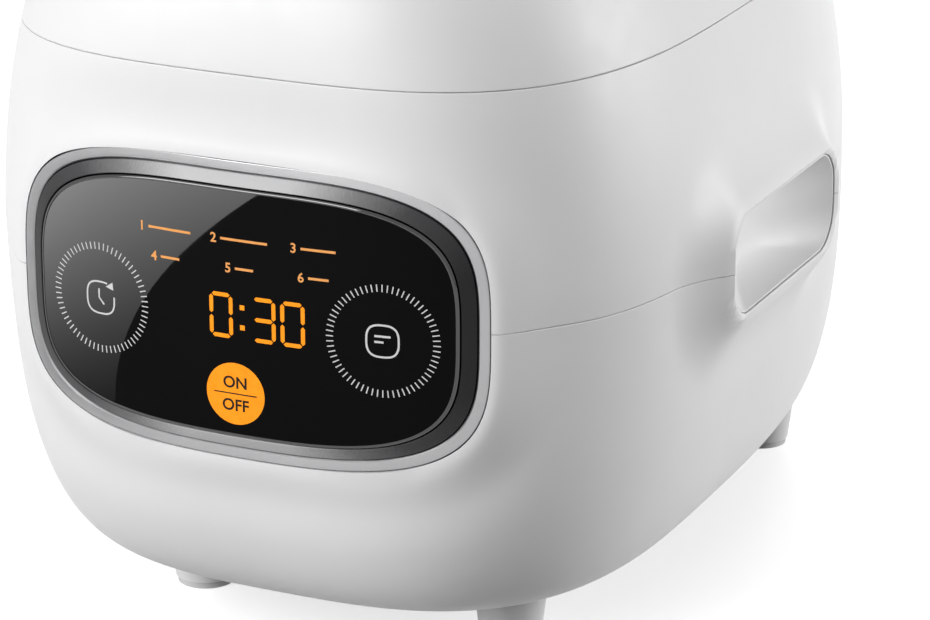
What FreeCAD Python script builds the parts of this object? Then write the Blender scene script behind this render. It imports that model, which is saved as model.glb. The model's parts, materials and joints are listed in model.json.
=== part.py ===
import FreeCAD, Part
import math
import os
import re

import Sketcher
from FreeCAD import Placement, Rotation, Vector

# Driving sizes in millimetres, measured from the floor, the mid-plane and the middle of the depth.
SIZES = {
    # Outer form
    "half_width": 102.2, "front_depth": 120.5, "rear_depth": 158.5, "middle_y": -18.8,
    "base_z": 19.8, "belly_z": 119.4, "top_z": 214.0, "seam_z": 112.5, "lid_z": 176.2,
    "low_side": 34.4, "low_side_power": 2.68,
    "low_front": 41.6, "low_front_power": 3.25,
    "low_rear": 5.1, "low_rear_power": 2.44,
    "up_side": 30.9, "up_side_power": 1.79,
    "up_front": 26.0, "up_front_power": 3.6,
    "up_rear": 23.9, "up_rear_power": 2.4,
    "front_power_base": 2.99, "front_power_belly": 3.42, "front_power_top": 3.26,
    "rear_power_base": 3.05, "rear_power_belly": 2.79, "rear_power_top": 2.45,
    "wall": 2.6, "clearance": 0.3, "seam_gap": 0.6, "lid_gap": 0.8, "contact_gap": 0.1,
    # Feet
    "foot_front_x": 49.0, "foot_front_y": -70.3, "foot_rear_x": 58.5, "foot_rear_y": 104.5,
    "foot_radius": 9.0, "foot_top_radius": 13.0, "foot_reach_z": 36.0,
    "pad_radius": 8.4, "pad_height": 2.0,
    # Bottom cover
    "cover_margin": 9.0, "vent_half_x": 24.0, "vent_width": 4.0, "vent_pitch": 13.0, "vent_start_y": -36.0,
    "vent_count": 9,
    "block_x": 50.0, "block_front_y": -50.0, "block_rear_y": 70.0, "block_half": 6.0,
    "block_reach_x": 70.0, "block_height": 12.0,
    "screw_radius": 1.5, "screw_head_radius": 3.4, "screw_head_height": 1.9, "screw_length": 11.0,
    # Handle pockets
    "handle_y": -16.3, "lip_x": 109.7, "lip_width": 2.0,
    "pocket_half_y": 40.0, "pocket_half_z": 14.75, "pocket_corner": 11.5, "pocket_depth": 12.5,
    "pocket_wall": 2.0, "pocket_rim": 0.5, "pocket_sink": 1.0,
    "pocket_flange": 5.0, "flange_back": 96.6, "flange_front": 97.8,
    "flare_depth": 12.7, "flare_reach_y": 26.0, "flare_reach_z": 22.0,
    # Control panel
    "panel_z": 111.4, "panel_curve": 297.5, "panel_power": 3.5, "glass_proud": 1.4, "bezel_drop": 2.2,
    "bezel_half_x": 69.6, "bezel_half_z": 41.6, "bezel_ring": 3.0, "bezel_depth": 7.0,
    "trim_drop": 0.5, "glass_half_x": 62.6, "glass_half_z": 34.75, "glass_thick": 2.4,
    "collar_margin": 2.0, "collar_drop": 0.3,
    "frame_half_x": 61.0, "frame_half_z": 33.0, "frame_wall": 2.4,
    "board_y": -124.0, "board_thick": 1.6, "board_half_x": 57.0, "board_half_z": 29.0,
    "post_x": 52.0, "post_z": 24.0, "post_radius": 3.0, "post_front_y": -132.0,
    "small_screw_radius": 1.2, "small_head_radius": 2.4, "small_head_height": 1.6, "small_screw_length": 7.0,
    "display_x": 3.0, "display_half_x": 30.0, "display_half_z": 8.0, "display_depth": 10.0,
    "key_x": 42.2, "key_drop": 2.4, "start_drop": 22.6, "contact_radius": 5.0, "contact_length": 8.5,
    # Pot, heater and sensor
    "pot_y": -12.0, "pot_radius": 80.0, "pot_wall": 1.8, "pot_bottom_z": 70.0, "pot_corner": 16.0,
    "rim_radius": 86.0, "rim_drop": 4.7, "rim_thick": 1.8,
    "collar_hole": 87.5, "collar_top_drop": 2.7, "collar_thick": 2.5, "skirt_wall": 2.0, "skirt_low_z": 152.0,
    "shield_radius": 84.0, "shield_wall": 0.8, "shield_z": 50.0, "shield_hole": 20.0,
    "plate_radius": 66.0, "plate_hole": 18.0, "plate_low_z": 58.0, "plate_chamfer": 4.0,
    "ring_radius": 45.0, "ring_half": 6.0, "ring_drop": 4.0, "ring_taper": 1.0,
    "terminal_x": 13.0, "terminal_radius": 2.5, "terminal_low_z": 43.0, "terminal_hole": 5.0,
    "standoff_radius": 4.0, "standoff_circle": 58.0, "standoff_count": 3,
    "sensor_radius": 15.0, "sensor_wall": 1.4, "sensor_low_z": 55.0, "sensor_gap": 0.2,
    "bracket_radius": 27.0, "bracket_hole": 3.0, "bracket_thick": 1.5,
    "sensor_coil": 9.0, "sensor_wire": 1.2,
    "fuse_radius": 3.0, "fuse_half": 9.0, "fuse_y": -46.0,
    # Power parts
    "power_y": 116.0, "power_half_x": 40.0, "power_low_z": 60.0, "power_high_z": 106.0,
    "mast_x": 34.0, "mast_low_z": 66.0, "mast_high_z": 100.0, "mast_radius": 3.4,
    "relay_x": -30.0, "relay_half": 9.0, "relay_z": 84.0, "relay_height": 16.0, "relay_half_z": 8.0,
    "transformer_x": 14.0, "transformer_half": 12.0, "transformer_z": 82.0, "transformer_height": 20.0,
    "capacitor_x": -10.0, "capacitor_z": 72.0, "capacitor_radius": 6.0, "capacitor_height": 17.0,
    "inlet_z": 47.0, "inlet_half_x": 15.0, "inlet_half_z": 10.0, "inlet_front_y": 112.0, "inlet_rear_y": 138.2,
    "socket_half_x": 12.0, "socket_half_z": 7.5, "socket_floor_y": 122.0,
    "prong_pitch": 7.0, "prong_half_x": 1.0, "prong_half_z": 2.5, "prong_length": 11.0,
    # Hinge
    "hinge_y": 135.4, "hinge_rise": 0.5, "knuckle_radius": 5.3,
    "knuckle_inner_x": 17.0, "knuckle_outer_x": 26.0,
    "arm_knuckle_inner_x": 6.0, "arm_knuckle_outer_x": 16.5,
    "pin_radius": 2.0, "pin_fit": 0.06, "notch_gap": 0.5,
    "bracket_front_y": 121.0, "bracket_rear_y": 130.4, "bracket_low_z": 158.0, "bracket_bar_z": 165.0,
    "web_front_y": 126.0, "web_half": 3.2, "arm_front_y": 100.0, "arm_thick": 3.0,
    "hinge_coil": 3.3, "hinge_wire": 1.0, "hinge_pitch": 1.6, "hinge_coil_half": 5.2,
    # Lid
    "liner_rise": 0.7, "liner_thick": 2.5, "boss_radius": 4.0,
    "boss_front_x": 64.0, "boss_front_y": -78.0, "boss_rear_x": 60.0, "boss_rear_y": 62.0,
    "inner_lid_radius": 76.0, "inner_lid_drop": 2.0, "inner_lid_thick": 1.2, "inner_lid_hole": 7.0,
    "gasket_groove": 74.5, "gasket_body": 80.0, "gasket_lip": 84.0, "gasket_lip_thick": 1.0,
    "gasket_step": 1.0,
    "stud_radius": 4.0, "stud_drop": 4.6, "grommet_radius": 10.0,
    "vent_y": 50.0, "vent_tube": 10.0, "vent_tube_wall": 2.0, "vent_floor_z": 190.0, "vent_floor_thick": 2.0,
    "cup_radius": 20.0, "cup_wall": 1.6, "cup_flange": 25.0, "flange_thick": 1.2, "steam_hole": 8.0,
    "cap_radius": 23.8, "cap_thick": 2.0, "cap_round": 1.4,
    "plug_radius": 19.5, "plug_wall": 1.8, "plug_low_z": 198.0,
    "seal_radius": 19.7, "seal_inner": 16.5, "seal_height": 2.2,
    "slot_count": 5, "slot_pitch": 6.0, "slot_half_x": 11.0, "slot_half_y": 1.2,
    # Release button and latch
    "button_y": -88.0, "button_half_x": 17.0, "button_half_y": 7.5, "button_rise": 1.0, "button_lip": 2.0,
    "button_lip_thick": 1.7, "button_stem": 1.6, "lever_gap": 0.6,
    "latch_y": -108.0, "latch_z": 192.0, "latch_half_x": 4.0, "latch_lever_y": -84.0,
    "lever_top_z": 195.0, "lever_low_z": 191.6, "latch_stem_front_y": -120.0, "latch_stem_rear_y": -116.0,
    "latch_tip_y": -113.2, "latch_tip_z": 170.4, "latch_low_z": 167.4, "latch_tip_height": 1.2,
    "latch_shoulder": 3.0, "latch_bend": 8.0, "latch_heel": 10.0, "latch_web": 6.0,
    "ear_inner_x": 5.0, "ear_outer_x": 8.0, "ear_half_y": 5.0, "pin_overhang": 1.0, "ear_top_z": 197.0,
    "latch_slot_half_x": 6.0, "latch_slot_room": 2.0, "latch_slot_front_y": -125.0, "latch_catch_gap": 0.4,
    "latch_coil": 3.2, "latch_wire": 0.8, "latch_coil_y": -93.0, "latch_coil_top_z": 189.6,
}
TINY = 1e-6
OUTLINE_POINTS = 48
LEVELS = 6
FLARE_STEPS = 4
SCOOP_STEPS = 9
FAR = 200.0

doc = FreeCAD.newDocument("rice_cooker")
sheet = doc.addObject("Spreadsheet::Sheet", "Sizes")
for row, (alias, number) in enumerate(SIZES.items(), start=1):
    sheet.set(f"A{row}", alias)
    sheet.set(f"B{row}", str(number))
    sheet.setAlias(f"B{row}", alias)
doc.recompute()
pieces = []


# Helpers that bind geometry to the sheet

def formula(text):
    """Expression text in which every size name points at its cell."""
    def point(match):
        word = match.group()
        return "Sizes." + word if word in SIZES else word
    return re.sub(r"[a-z][a-z_]*", point, text)


def value(text):
    """Present number of a size formula."""
    return float(sheet.evalExpression(formula(text)))


def bind(thing, links):
    for path, text in links.items():
        thing.setExpression(path, formula(text))


def place(thing, x="0", y="0", z="0"):
    bind(thing, {"Placement.Base.x": x, "Placement.Base.y": y, "Placement.Base.z": z})
    return thing


def keep(thing, node):
    """Marks an object as a finished sub-part."""
    thing.Label = node
    pieces.append(thing)
    return thing


def box(name, x, y, z):
    solid = doc.addObject("Part::Box", name)
    sides = {"Length": x, "Width": y, "Height": z}
    bind(solid, {side: f"({high}) - ({low})" for side, (low, high) in sides.items()})
    return place(solid, x[0], y[0], z[0])


def rod(name, radius, axis, ends, centre):
    """Cylinder along an axis between two positions; centre holds the other two coordinates in order."""
    turns = {"x": Rotation(Vector(0, 1, 0), 90), "y": Rotation(Vector(1, 0, 0), -90), "z": Rotation()}
    solid = doc.addObject("Part::Cylinder", name)
    solid.Placement = Placement(Vector(), turns[axis])
    bind(solid, {"Radius": radius, "Height": f"({ends[1]}) - ({ends[0]})"})
    spot = list(centre)
    spot.insert("xyz".index(axis), ends[0])
    return place(solid, *spot)


def fuse(name, members):
    joined = doc.addObject("Part::MultiFuse", name)
    joined.Shapes = members
    joined.Refine = False
    return joined


def common(name, members):
    shared = doc.addObject("Part::MultiCommon", name)
    shared.Shapes = members
    shared.Refine = False
    return shared


def cut(name, base, tools):
    result = doc.addObject("Part::Cut", name)
    result.Base = base
    result.Refine = False
    result.Tool = tools[0] if len(tools) == 1 else fuse(name + "_tools", tools)
    return result


def formed(name, shape):
    """Object for a shape that is worked out from the sheet."""
    thing = doc.addObject("Part::Feature", name)
    thing.Shape = shape
    return thing


def hold(sketch, kind, index, text):
    """Fixes one corner's distance from the origin by a size formula."""
    distance = value(text)
    if abs(distance) < TINY:
        axis = -2 if kind == "DistanceX" else -1
        sketch.addConstraint(Sketcher.Constraint("PointOnObject", index, 1, axis))
        return
    if distance > 0:
        number = sketch.addConstraint(Sketcher.Constraint(kind, -1, 1, index, 1, distance))
        text = formula(text)
    else:
        number = sketch.addConstraint(Sketcher.Constraint(kind, index, 1, -1, 1, -distance))
        text = f"-({formula(text)})"
    sketch.setExpression(f"Constraints[{number}]", text)


def outline_sketch(body, plane, corners):
    """Closed outline of straight sides on one of the body's origin planes."""
    sketch = body.newObject("Sketcher::SketchObject", body.Name + "_sketch")
    support = next(item for item in body.Origin.OriginFeatures if item.Role == plane)
    sketch.AttachmentSupport = [(support, "")]
    sketch.MapMode = "FlatFace"
    spots = [Vector(value(across), value(up), 0) for across, up in corners]
    for start, end in zip(spots, spots[1:] + spots[:1]):
        sketch.addGeometry(Part.LineSegment(start, end), False)
    for index, (across, up) in enumerate(corners):
        sketch.addConstraint(Sketcher.Constraint("Coincident", index, 2, (index + 1) % len(corners), 1))
        hold(sketch, "DistanceX", index, across)
        hold(sketch, "DistanceY", index, up)
    return sketch


def turned(name, corners, x="0", y="0"):
    """Body of revolution about a vertical axis from corners given as radius and height."""
    body = doc.addObject("PartDesign::Body", name)
    sketch = outline_sketch(body, "XZ_Plane", corners)
    turn = body.newObject("PartDesign::Revolution", name + "_turn")
    turn.Profile = sketch
    turn.ReferenceAxis = (sketch, ["V_Axis"])
    turn.Angle = 360
    sketch.Visibility = False
    return place(body, x, y)


def rounded(body, circles, radius):
    """Rounds the circular edges of a turned body found at the given radius and height."""
    doc.recompute()
    base = body.Tip
    spots = [(value(across), value(up)) for across, up in circles]
    names = []
    for number, edge in enumerate(base.Shape.Edges, start=1):
        if not isinstance(edge.Curve, Part.Circle):
            continue
        ring = (edge.Curve.Radius, edge.Curve.Center.z)
        if any(abs(ring[0] - across) < TINY and abs(ring[1] - up) < TINY for across, up in spots):
            names.append(f"Edge{number}")
    fillet = body.newObject("PartDesign::Fillet", body.Name + "_round")
    fillet.Base = (base, names)
    bind(fillet, {"Radius": radius})
    return body


def coil(name, radius, wire, pitch, ends, turn, x="0", y="0", z="0"):
    """Helical spring along its own axis, turned and placed as one piece."""
    spine = doc.addObject("Part::Helix", name + "_spine")
    bind(spine, {"Radius": radius, "Pitch": pitch, "Height": f"({ends[1]}) - ({ends[0]}) - ({wire})"})
    section = doc.addObject("Part::Circle", name + "_section")
    section.Placement = Placement(Vector(), Rotation(Vector(1, 0, 0), 90))
    bind(section, {"Radius": f"({wire}) / 2"})
    place(section, x=radius)
    doc.recompute()
    spring = doc.addObject("Part::Sweep", name)
    spring.Sections = [section]
    spring.Spine = (spine, ["Edge1"])
    spring.Solid = True
    spring.Frenet = True
    spring.Placement = Placement(Vector(), turn)
    return place(spring, x, y, z)


def spring_sleeve(name, radius, wire, ends, y):
    """Upright sleeve with the inner and outer size of an enclosed coil spring."""
    inner = f"{radius} - {wire} / 2"
    outer = f"{radius} + {wire} / 2"
    return turned(name, [(inner, ends[0]), (outer, ends[0]), (outer, ends[1]), (inner, ends[1])], y=y)


# Outer form: superellipse sections whose insets follow superellipse quarters above and below the belly

def quarter(fraction, power):
    """Share of the full inset reached at a fraction of the way from the belly to the end plane."""
    return 1 - max(0.0, 1 - fraction ** power) ** (1 / power)


def section_outline(fraction, part, level, shrink):
    """Closed horizontal outline; part is low or up and shrink moves every side inwards."""
    end = "base" if part == "low" else "top"
    side, front, rear = (
        value(f"{part}_{face}") * quarter(fraction, value(f"{part}_{face}_power")) + shrink
        for face in ("side", "front", "rear"))
    power = {}
    for face in ("front", "rear"):
        belly = value(f"{face}_power_belly")
        power[face] = belly + (value(f"{face}_power_{end}") - belly) * fraction
    reach = {"front": value("front_depth") - front, "rear": value("rear_depth") - rear}
    return oval_wire(value("half_width") - side, reach, power, level)


def oval_wire(half_width, reach, power, level):
    spots = []
    for index in range(OUTLINE_POINTS):
        angle = math.pi / 2 + 2 * math.pi * index / OUTLINE_POINTS
        across, along = math.cos(angle), math.sin(angle)
        face = "front" if along < 0 else "rear"
        scale = (abs(across) ** power[face] + abs(along) ** power[face]) ** (-1 / power[face])
        y = value("middle_y") + reach[face] * scale * along
        spots.append(Vector(half_width * scale * across, y, level))
    curve = Part.BSplineCurve()
    curve.interpolate(Points=spots, PeriodicFlag=True)
    return Part.Wire([curve.toShape()])


def body_form(name, shrink):
    """Solid inside the outer form by the given distance, with flat base and top."""
    belly, base, top = value("belly_z"), value("base_z") + shrink, value("top_z") - shrink
    levels = []
    for step in range(LEVELS, 0, -1):
        fraction = math.sin(math.pi / 2 * step / LEVELS)
        levels.append((fraction, "low", belly - (belly - base) * fraction))
    levels.append((0.0, "low", belly))
    for step in range(1, LEVELS + 1):
        fraction = math.sin(math.pi / 2 * step / LEVELS)
        levels.append((fraction, "up", belly + (top - belly) * fraction))
    sections = []
    for number, (fraction, part, level) in enumerate(levels):
        wire = section_outline(fraction, part, level, shrink)
        sections.append(formed(f"{name}_section_{number}", wire))
    return lofted(name, sections)


def lofted(name, sections):
    solid = doc.addObject("Part::Loft", name)
    solid.Sections = sections
    solid.Solid = True
    solid.Ruled = False
    return solid


# Outlines on upright planes

def superellipse(half_a, half_b, power):
    """Points of a closed superellipse as pairs."""
    spots = []
    for index in range(OUTLINE_POINTS):
        angle = 2 * math.pi * index / OUTLINE_POINTS
        across, up = math.cos(angle), math.sin(angle)
        scale = (abs(across) ** power + abs(up) ** power) ** (-1 / power)
        spots.append((half_a * scale * across, half_b * scale * up))
    return spots


def closed_curve(spots):
    curve = Part.BSplineCurve()
    curve.interpolate(Points=spots, PeriodicFlag=True)
    return curve.toShape()


def panel_prism(name, half_x, half_z, ends):
    """Block along the depth whose outline is a panel superellipse."""
    start, end = value(ends[0]), value(ends[1])
    pairs = superellipse(value(half_x), value(half_z), value("panel_power"))
    wire = Part.Wire([closed_curve([Vector(a, start, value("panel_z") + b) for a, b in pairs])])
    return formed(name, Part.Face(wire).extrude(Vector(0, end - start, 0)))


def rounded_wire(half_a, half_b, radius, spot):
    """Rounded rectangle; spot turns a pair of coordinates into a point."""
    straight_a, straight_b = half_a - radius, half_b - radius
    edges = []
    for turn in range(4):
        sign_a = 1 if turn in (0, 3) else -1
        sign_b = 1 if turn in (0, 1) else -1
        arc = []
        for step in range(3):
            angle = math.pi / 2 * (turn + step / 2)
            arc.append(spot(sign_a * straight_a + radius * math.cos(angle),
                            sign_b * straight_b + radius * math.sin(angle)))
        edges.append(Part.Arc(*arc).toShape())
    lines = []
    for first, second in zip(edges, edges[1:] + edges[:1]):
        lines.append(Part.makeLine(first.valueAt(first.LastParameter), second.valueAt(second.FirstParameter)))
    return Part.Wire([edge for pair in zip(edges, lines) for edge in pair])


def pocket_wire(side, x, grow_y, grow_z, corner):
    """Handle outline on an upright plane at the given distance from the mid-plane."""
    def spot(across, up):
        return Vector(side * x, value("handle_y") + across, value("seam_z") + up)
    return rounded_wire(value("pocket_half_y") + grow_y, value("pocket_half_z") + grow_z, corner, spot)


def pocket_prism(name, side, inner, outer, grow):
    """Block along X with the handle outline grown by a margin."""
    corner = value("pocket_corner") + grow
    wire = pocket_wire(side, inner, grow, grow, corner)
    return formed(name, Part.Face(wire).extrude(Vector(side * (outer - inner), 0, 0)))


def finger_scoop(name, side):
    """Smooth hollow, deepest in its middle, whose outline shrinks with its depth."""
    mouth, depth = value("lip_x - pocket_sink"), value("pocket_depth")
    edge = value("clearance + pocket_rim")
    half_y, half_z = value("pocket_half_y") - edge, value("pocket_half_z") - edge
    sections = []
    for step in range(-1, SCOOP_STEPS):
        share = 1 - step / SCOOP_STEPS
        narrow = math.sqrt(share)
        grow_y, grow_z = half_y * share - value("pocket_half_y"), half_z * narrow - value("pocket_half_z")
        corner = (value("pocket_corner") - edge) * narrow
        wire = pocket_wire(side, mouth - depth * (1 - share ** 2), grow_y, grow_z, corner)
        sections.append(formed(f"{name}_section_{step + 1}", wire))
    return lofted(name, sections)


def handle_flare(name, side):
    """Concave boss that rises from the flank to the handle lip."""
    sections = []
    lip, depth = value("lip_width"), value("flare_depth")
    for step in range(FLARE_STEPS + 1):
        share = step / FLARE_STEPS
        grow_y = lip + value("flare_reach_y") * share ** 2
        grow_z = lip + value("flare_reach_z") * share ** 2
        corner = value("pocket_corner") + min(grow_y, grow_z)
        wire = pocket_wire(side, value("lip_x") - depth * share, grow_y, grow_z, corner)
        sections.append(formed(f"{name}_section_{step}", wire))
    return lofted(name, sections)


# Panel cylinder: all panel faces share one upright axis behind the cooker
GLASS_Y = "(middle_y - front_depth - glass_proud)"
PANEL_AXIS_Y = f"({GLASS_Y} + panel_curve)"
PANEL_ENDS = ("panel_z - 2 * bezel_half_z", "panel_z + 2 * bezel_half_z")


def panel_drum(name, drop):
    """Cylinder whose front face lies a given depth behind the glass face."""
    return rod(name, f"panel_curve - ({drop})", "z", PANEL_ENDS, ("0", PANEL_AXIS_Y))


def panel_curve_on(half_x, half_z, drop):
    """Superellipse drawn on the panel cylinder at a depth behind the glass face."""
    axis, radius = value(PANEL_AXIS_Y), value(f"panel_curve - ({drop})")
    spots = []
    for across, up in superellipse(value(half_x), value(half_z), value("panel_power")):
        spots.append(Vector(across, axis - math.sqrt(radius ** 2 - across ** 2), value("panel_z") + up))
    return closed_curve(spots)


def bevelled_ring(name, outlines):
    """Closed ring whose four faces run between neighbouring outlines."""
    edges = [panel_curve_on(*outline) for outline in outlines]
    faces = [Part.makeRuledSurface(first, second) for first, second in zip(edges, edges[1:] + edges[:1])]
    shell = Part.makeShell(faces)
    shell.sewShape()
    solid = Part.makeSolid(shell)
    if solid.Volume < 0:
        solid.reverse()
    return formed(name, solid)


# Shells

def build_shells():
    outer = body_form("outer_form", 0.0)
    inner = body_form("inner_form", value("wall"))
    collar = common("panel_collar", [
        panel_prism("collar_prism", "bezel_half_x + collar_margin", "bezel_half_z + collar_margin",
                    (f"{GLASS_Y} - wall", "board_y")),
        panel_drum("collar_drum", "bezel_drop + collar_drop")])
    flares = [handle_flare("flare_left", -1), handle_flare("flare_right", 1)]
    full = fuse("full_form", [outer, collar] + flares)
    window = panel_prism("panel_window", "bezel_half_x + clearance", "bezel_half_z + clearance",
                         (f"{GLASS_Y} - 2 * wall", "board_y + wall"))
    grips = []
    for side, word in ((-1, "left"), (1, "right")):
        inside, outside = value("flange_back - wall"), value("lip_x + wall")
        grips.append(pocket_prism(f"grip_{word}", side, inside, outside, 0.0))
    skin = cut("skin", full, [inner, window] + grips)
    notch = rod("hinge_notch", "knuckle_radius + notch_gap", "x",
                ("-knuckle_outer_x - notch_gap", "knuckle_outer_x + notch_gap"),
                ("hinge_y", "lid_z + hinge_rise"))
    build_lower_shell(skin, outer)
    build_upper_shell(skin, notch)
    build_lid_cover(outer, inner, notch)
    return notch


def slab(name, low, high):
    return box(name, (f"-{FAR}", f"{FAR}"), (f"-{FAR}", f"{FAR}"), (low, high))


def screw_spots():
    return [(f"{side}block_x", f"block_{end}_y") for side in ("-", "") for end in ("front", "rear")]


def build_lower_shell(skin, outer):
    part = common("lower_skin", [skin, slab("lower_slab", "base_z - wall", "seam_z - seam_gap / 2")])
    opening = cover_form("cover_opening", "cover_margin", "base_z - wall", "base_z + 2 * wall")
    inlet = box("inlet_opening", ("-inlet_half_x - clearance", "inlet_half_x + clearance"),
                ("inlet_front_y", f"{FAR}"),
                ("inlet_z - inlet_half_z - clearance", "inlet_z + inlet_half_z + clearance"))
    frame = cut("lower_frame", part, [opening, inlet])
    blocks, holes = [], []
    for number, (x, y) in enumerate(screw_spots()):
        reach = (f"{x} - block_half", "block_reach_x")
        if x[0] == "-":
            reach = ("-block_reach_x", f"{x} + block_half")
        blocks.append(box(f"screw_block_{number}", reach, (f"{y} - block_half", f"{y} + block_half"),
                          ("base_z + wall", "base_z + wall + block_height")))
        holes.append(rod(f"block_hole_{number}", "screw_radius + contact_gap", "z",
                         ("base_z", "base_z + wall + screw_length"), (x, y)))
    masts, bores = build_masts(outer)
    keep(cut("lower_shell", fuse("lower_solid", [frame] + blocks + masts), holes + bores), "lower_shell")


def build_masts(outer):
    """Posts from the rear wall that carry the power board, and their screw bores."""
    masts, bores = [], []
    for number, (x, z) in enumerate(mast_spots()):
        post = rod(f"mast_{number}", "mast_radius", "y",
                   ("power_y + board_thick", "middle_y + rear_depth"), (x, z))
        masts.append(common(f"mast_trim_{number}", [post, outer]))
        bores.append(rod(f"mast_bore_{number}", "small_screw_radius + contact_gap", "y",
                         ("power_y", "power_y + board_thick + small_screw_length"), (x, z)))
    return masts, bores


def mast_spots():
    return [(f"{side}mast_x", f"mast_{level}_z") for side in ("-", "") for level in ("low", "high")]


def cover_form(name, margin, low, high):
    """Block with the base outline moved inwards by a margin."""
    outline = section_outline(1.0, "low", value(low), value(margin))
    return formed(name, Part.Face(outline).extrude(Vector(0, 0, value(high) - value(low))))


def build_upper_shell(skin, notch):
    part = common("upper_skin", [skin, slab("upper_slab", "seam_z + seam_gap / 2", "lid_z - lid_gap / 2")])
    keep(cut("upper_shell", part, [notch]), "upper_shell")


def lid_spots():
    return [(f"{side}boss_{end}_x", f"boss_{end}_y") for side in ("-", "") for end in ("front", "rear")]


def build_lid_cover(outer, inner, notch):
    hollow = cut("lid_hollow", outer, [inner])
    part = common("lid_skin", [hollow, slab("lid_slab", "lid_z + lid_gap / 2", "top_z + wall")])
    bosses, bores = [], []
    for number, (x, y) in enumerate(lid_spots()):
        bosses.append(rod(f"lid_boss_{number}", "boss_radius", "z",
                          ("lid_z + liner_rise + liner_thick", "top_z - wall / 2"), (x, y)))
        bores.append(rod(f"lid_bore_{number}", "screw_radius + contact_gap", "z",
                         ("lid_z", "lid_z + liner_rise + liner_thick + screw_length"), (x, y)))
    solid = fuse("lid_solid", [part] + bosses)
    vent = rod("vent_opening", "cup_radius + cup_wall + clearance", "z", ("vent_floor_z", "top_z + wall"),
               ("0", "vent_y"))
    button = button_prism("button_opening", "clearance", "top_z - 2 * wall", "top_z + wall")
    keep(cut("lid_cover", solid, [notch, vent, button] + bores), "lid_cover")


# Feet and bottom cover

def build_feet():
    grown = body_form("foot_limit", -value("contact_gap"))
    for end in ("front", "rear"):
        for side, word in (("-", "left"), ("", "right")):
            x, y = f"{side}foot_{end}_x", f"foot_{end}_y"
            cone = doc.addObject("Part::Cone", f"foot_cone_{end}_{word}")
            bind(cone, {"Radius1": "foot_radius", "Radius2": "foot_top_radius",
                        "Height": "foot_reach_z - pad_height"})
            place(cone, x, y, "pad_height")
            keep(cut(f"foot_{end}_{word}", cone, [grown]), f"foot_{end}_{word}")
            pad = rod(f"foot_pad_{end}_{word}", "pad_radius", "z", ("0", "pad_height"), (x, y))
            keep(pad, f"foot_pad_{end}_{word}")


def build_bottom_cover():
    plate = cover_form("cover_plate", "cover_margin + clearance", "base_z", "base_z + wall")
    openings = []
    for number in range(int(value("vent_count"))):
        y = f"(vent_start_y + {number} * vent_pitch)"
        openings.append(box(f"vent_slot_{number}", ("-vent_half_x", "vent_half_x"), (y, f"{y} + vent_width"),
                            ("base_z - wall", "base_z + 2 * wall")))
    screws = []
    for number, (x, y) in enumerate(screw_spots()):
        openings.append(rod(f"cover_hole_{number}", "screw_radius + clearance", "z",
                            ("base_z - wall", "base_z + 2 * wall"), (x, y)))
        screws += screw(f"cover_screw_{number}", "z", "base_z", (x, y), "screw", "-")
    keep(cut("bottom_cover", plate, openings), "bottom_cover")
    keep(fuse("cover_screws", screws), "cover_screws")


def screw(name, axis, seat, centre, kind, head_side):
    """Screw with its head on the low or high side of the seat along an axis."""
    head = "small_head" if kind == "small_screw" else "screw_head"
    head_ends, shank_ends = (f"{seat} - {head}_height", seat), (seat, f"{seat} + {kind}_length")
    if head_side == "+":
        head_ends, shank_ends = (seat, f"{seat} + {head}_height"), (f"{seat} - {kind}_length", seat)
    return [rod(name + "_head", f"{head}_radius", axis, head_ends, centre),
            rod(name + "_shank", f"{kind}_radius", axis, shank_ends, centre)]


def build_handle_pockets():
    for side, word in ((-1, "left"), (1, "right")):
        mouth = value("lip_x - pocket_sink")
        tray = pocket_prism(f"tray_{word}", side, mouth - value("pocket_depth + pocket_wall"), mouth,
                            -value("clearance"))
        flange = pocket_prism(f"tray_flange_{word}", side, value("flange_back"), value("flange_front"),
                              value("pocket_flange"))
        solid = fuse(f"tray_solid_{word}", [tray, flange])
        hollow = finger_scoop(f"tray_scoop_{word}", side)
        keep(cut(f"handle_pocket_{word}", solid, [hollow]), f"handle_pocket_{word}")


# Control panel

def build_panel():
    ends = (f"{GLASS_Y} - wall", "board_y")
    outer = panel_prism("bezel_outer", "bezel_half_x", "bezel_half_z", ends)
    inner = panel_prism("bezel_inner", "bezel_half_x - bezel_ring", "bezel_half_z - bezel_ring", ends)
    ring = common("bezel_ring", [outer, panel_drum("bezel_front", "bezel_drop")])
    back = panel_drum("bezel_back", "bezel_drop + bezel_depth")
    keep(cut("panel_bezel", ring, [inner, back]), "panel_bezel")
    wide = ("bezel_half_x - bezel_ring - clearance", "bezel_half_z - bezel_ring - clearance")
    narrow = ("glass_half_x + clearance", "glass_half_z + clearance")
    keep(bevelled_ring("panel_trim", [
        wide + ("bezel_drop",), narrow + ("trim_drop",),
        narrow + ("bezel_drop + bezel_depth",), wide + ("bezel_drop + bezel_depth",)]), "panel_trim")
    block = panel_prism("glass_block", "glass_half_x", "glass_half_z", ends)
    front = common("glass_front", [block, panel_drum("glass_face", "0")])
    keep(cut("panel_glass", front, [panel_drum("glass_back", "glass_thick")]), "panel_glass")
    build_display_frame()
    build_control_board()


def panel_posts():
    return [(f"{side}post_x", f"panel_z {up} post_z") for side in ("-", "") for up in ("-", "+")]


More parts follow.
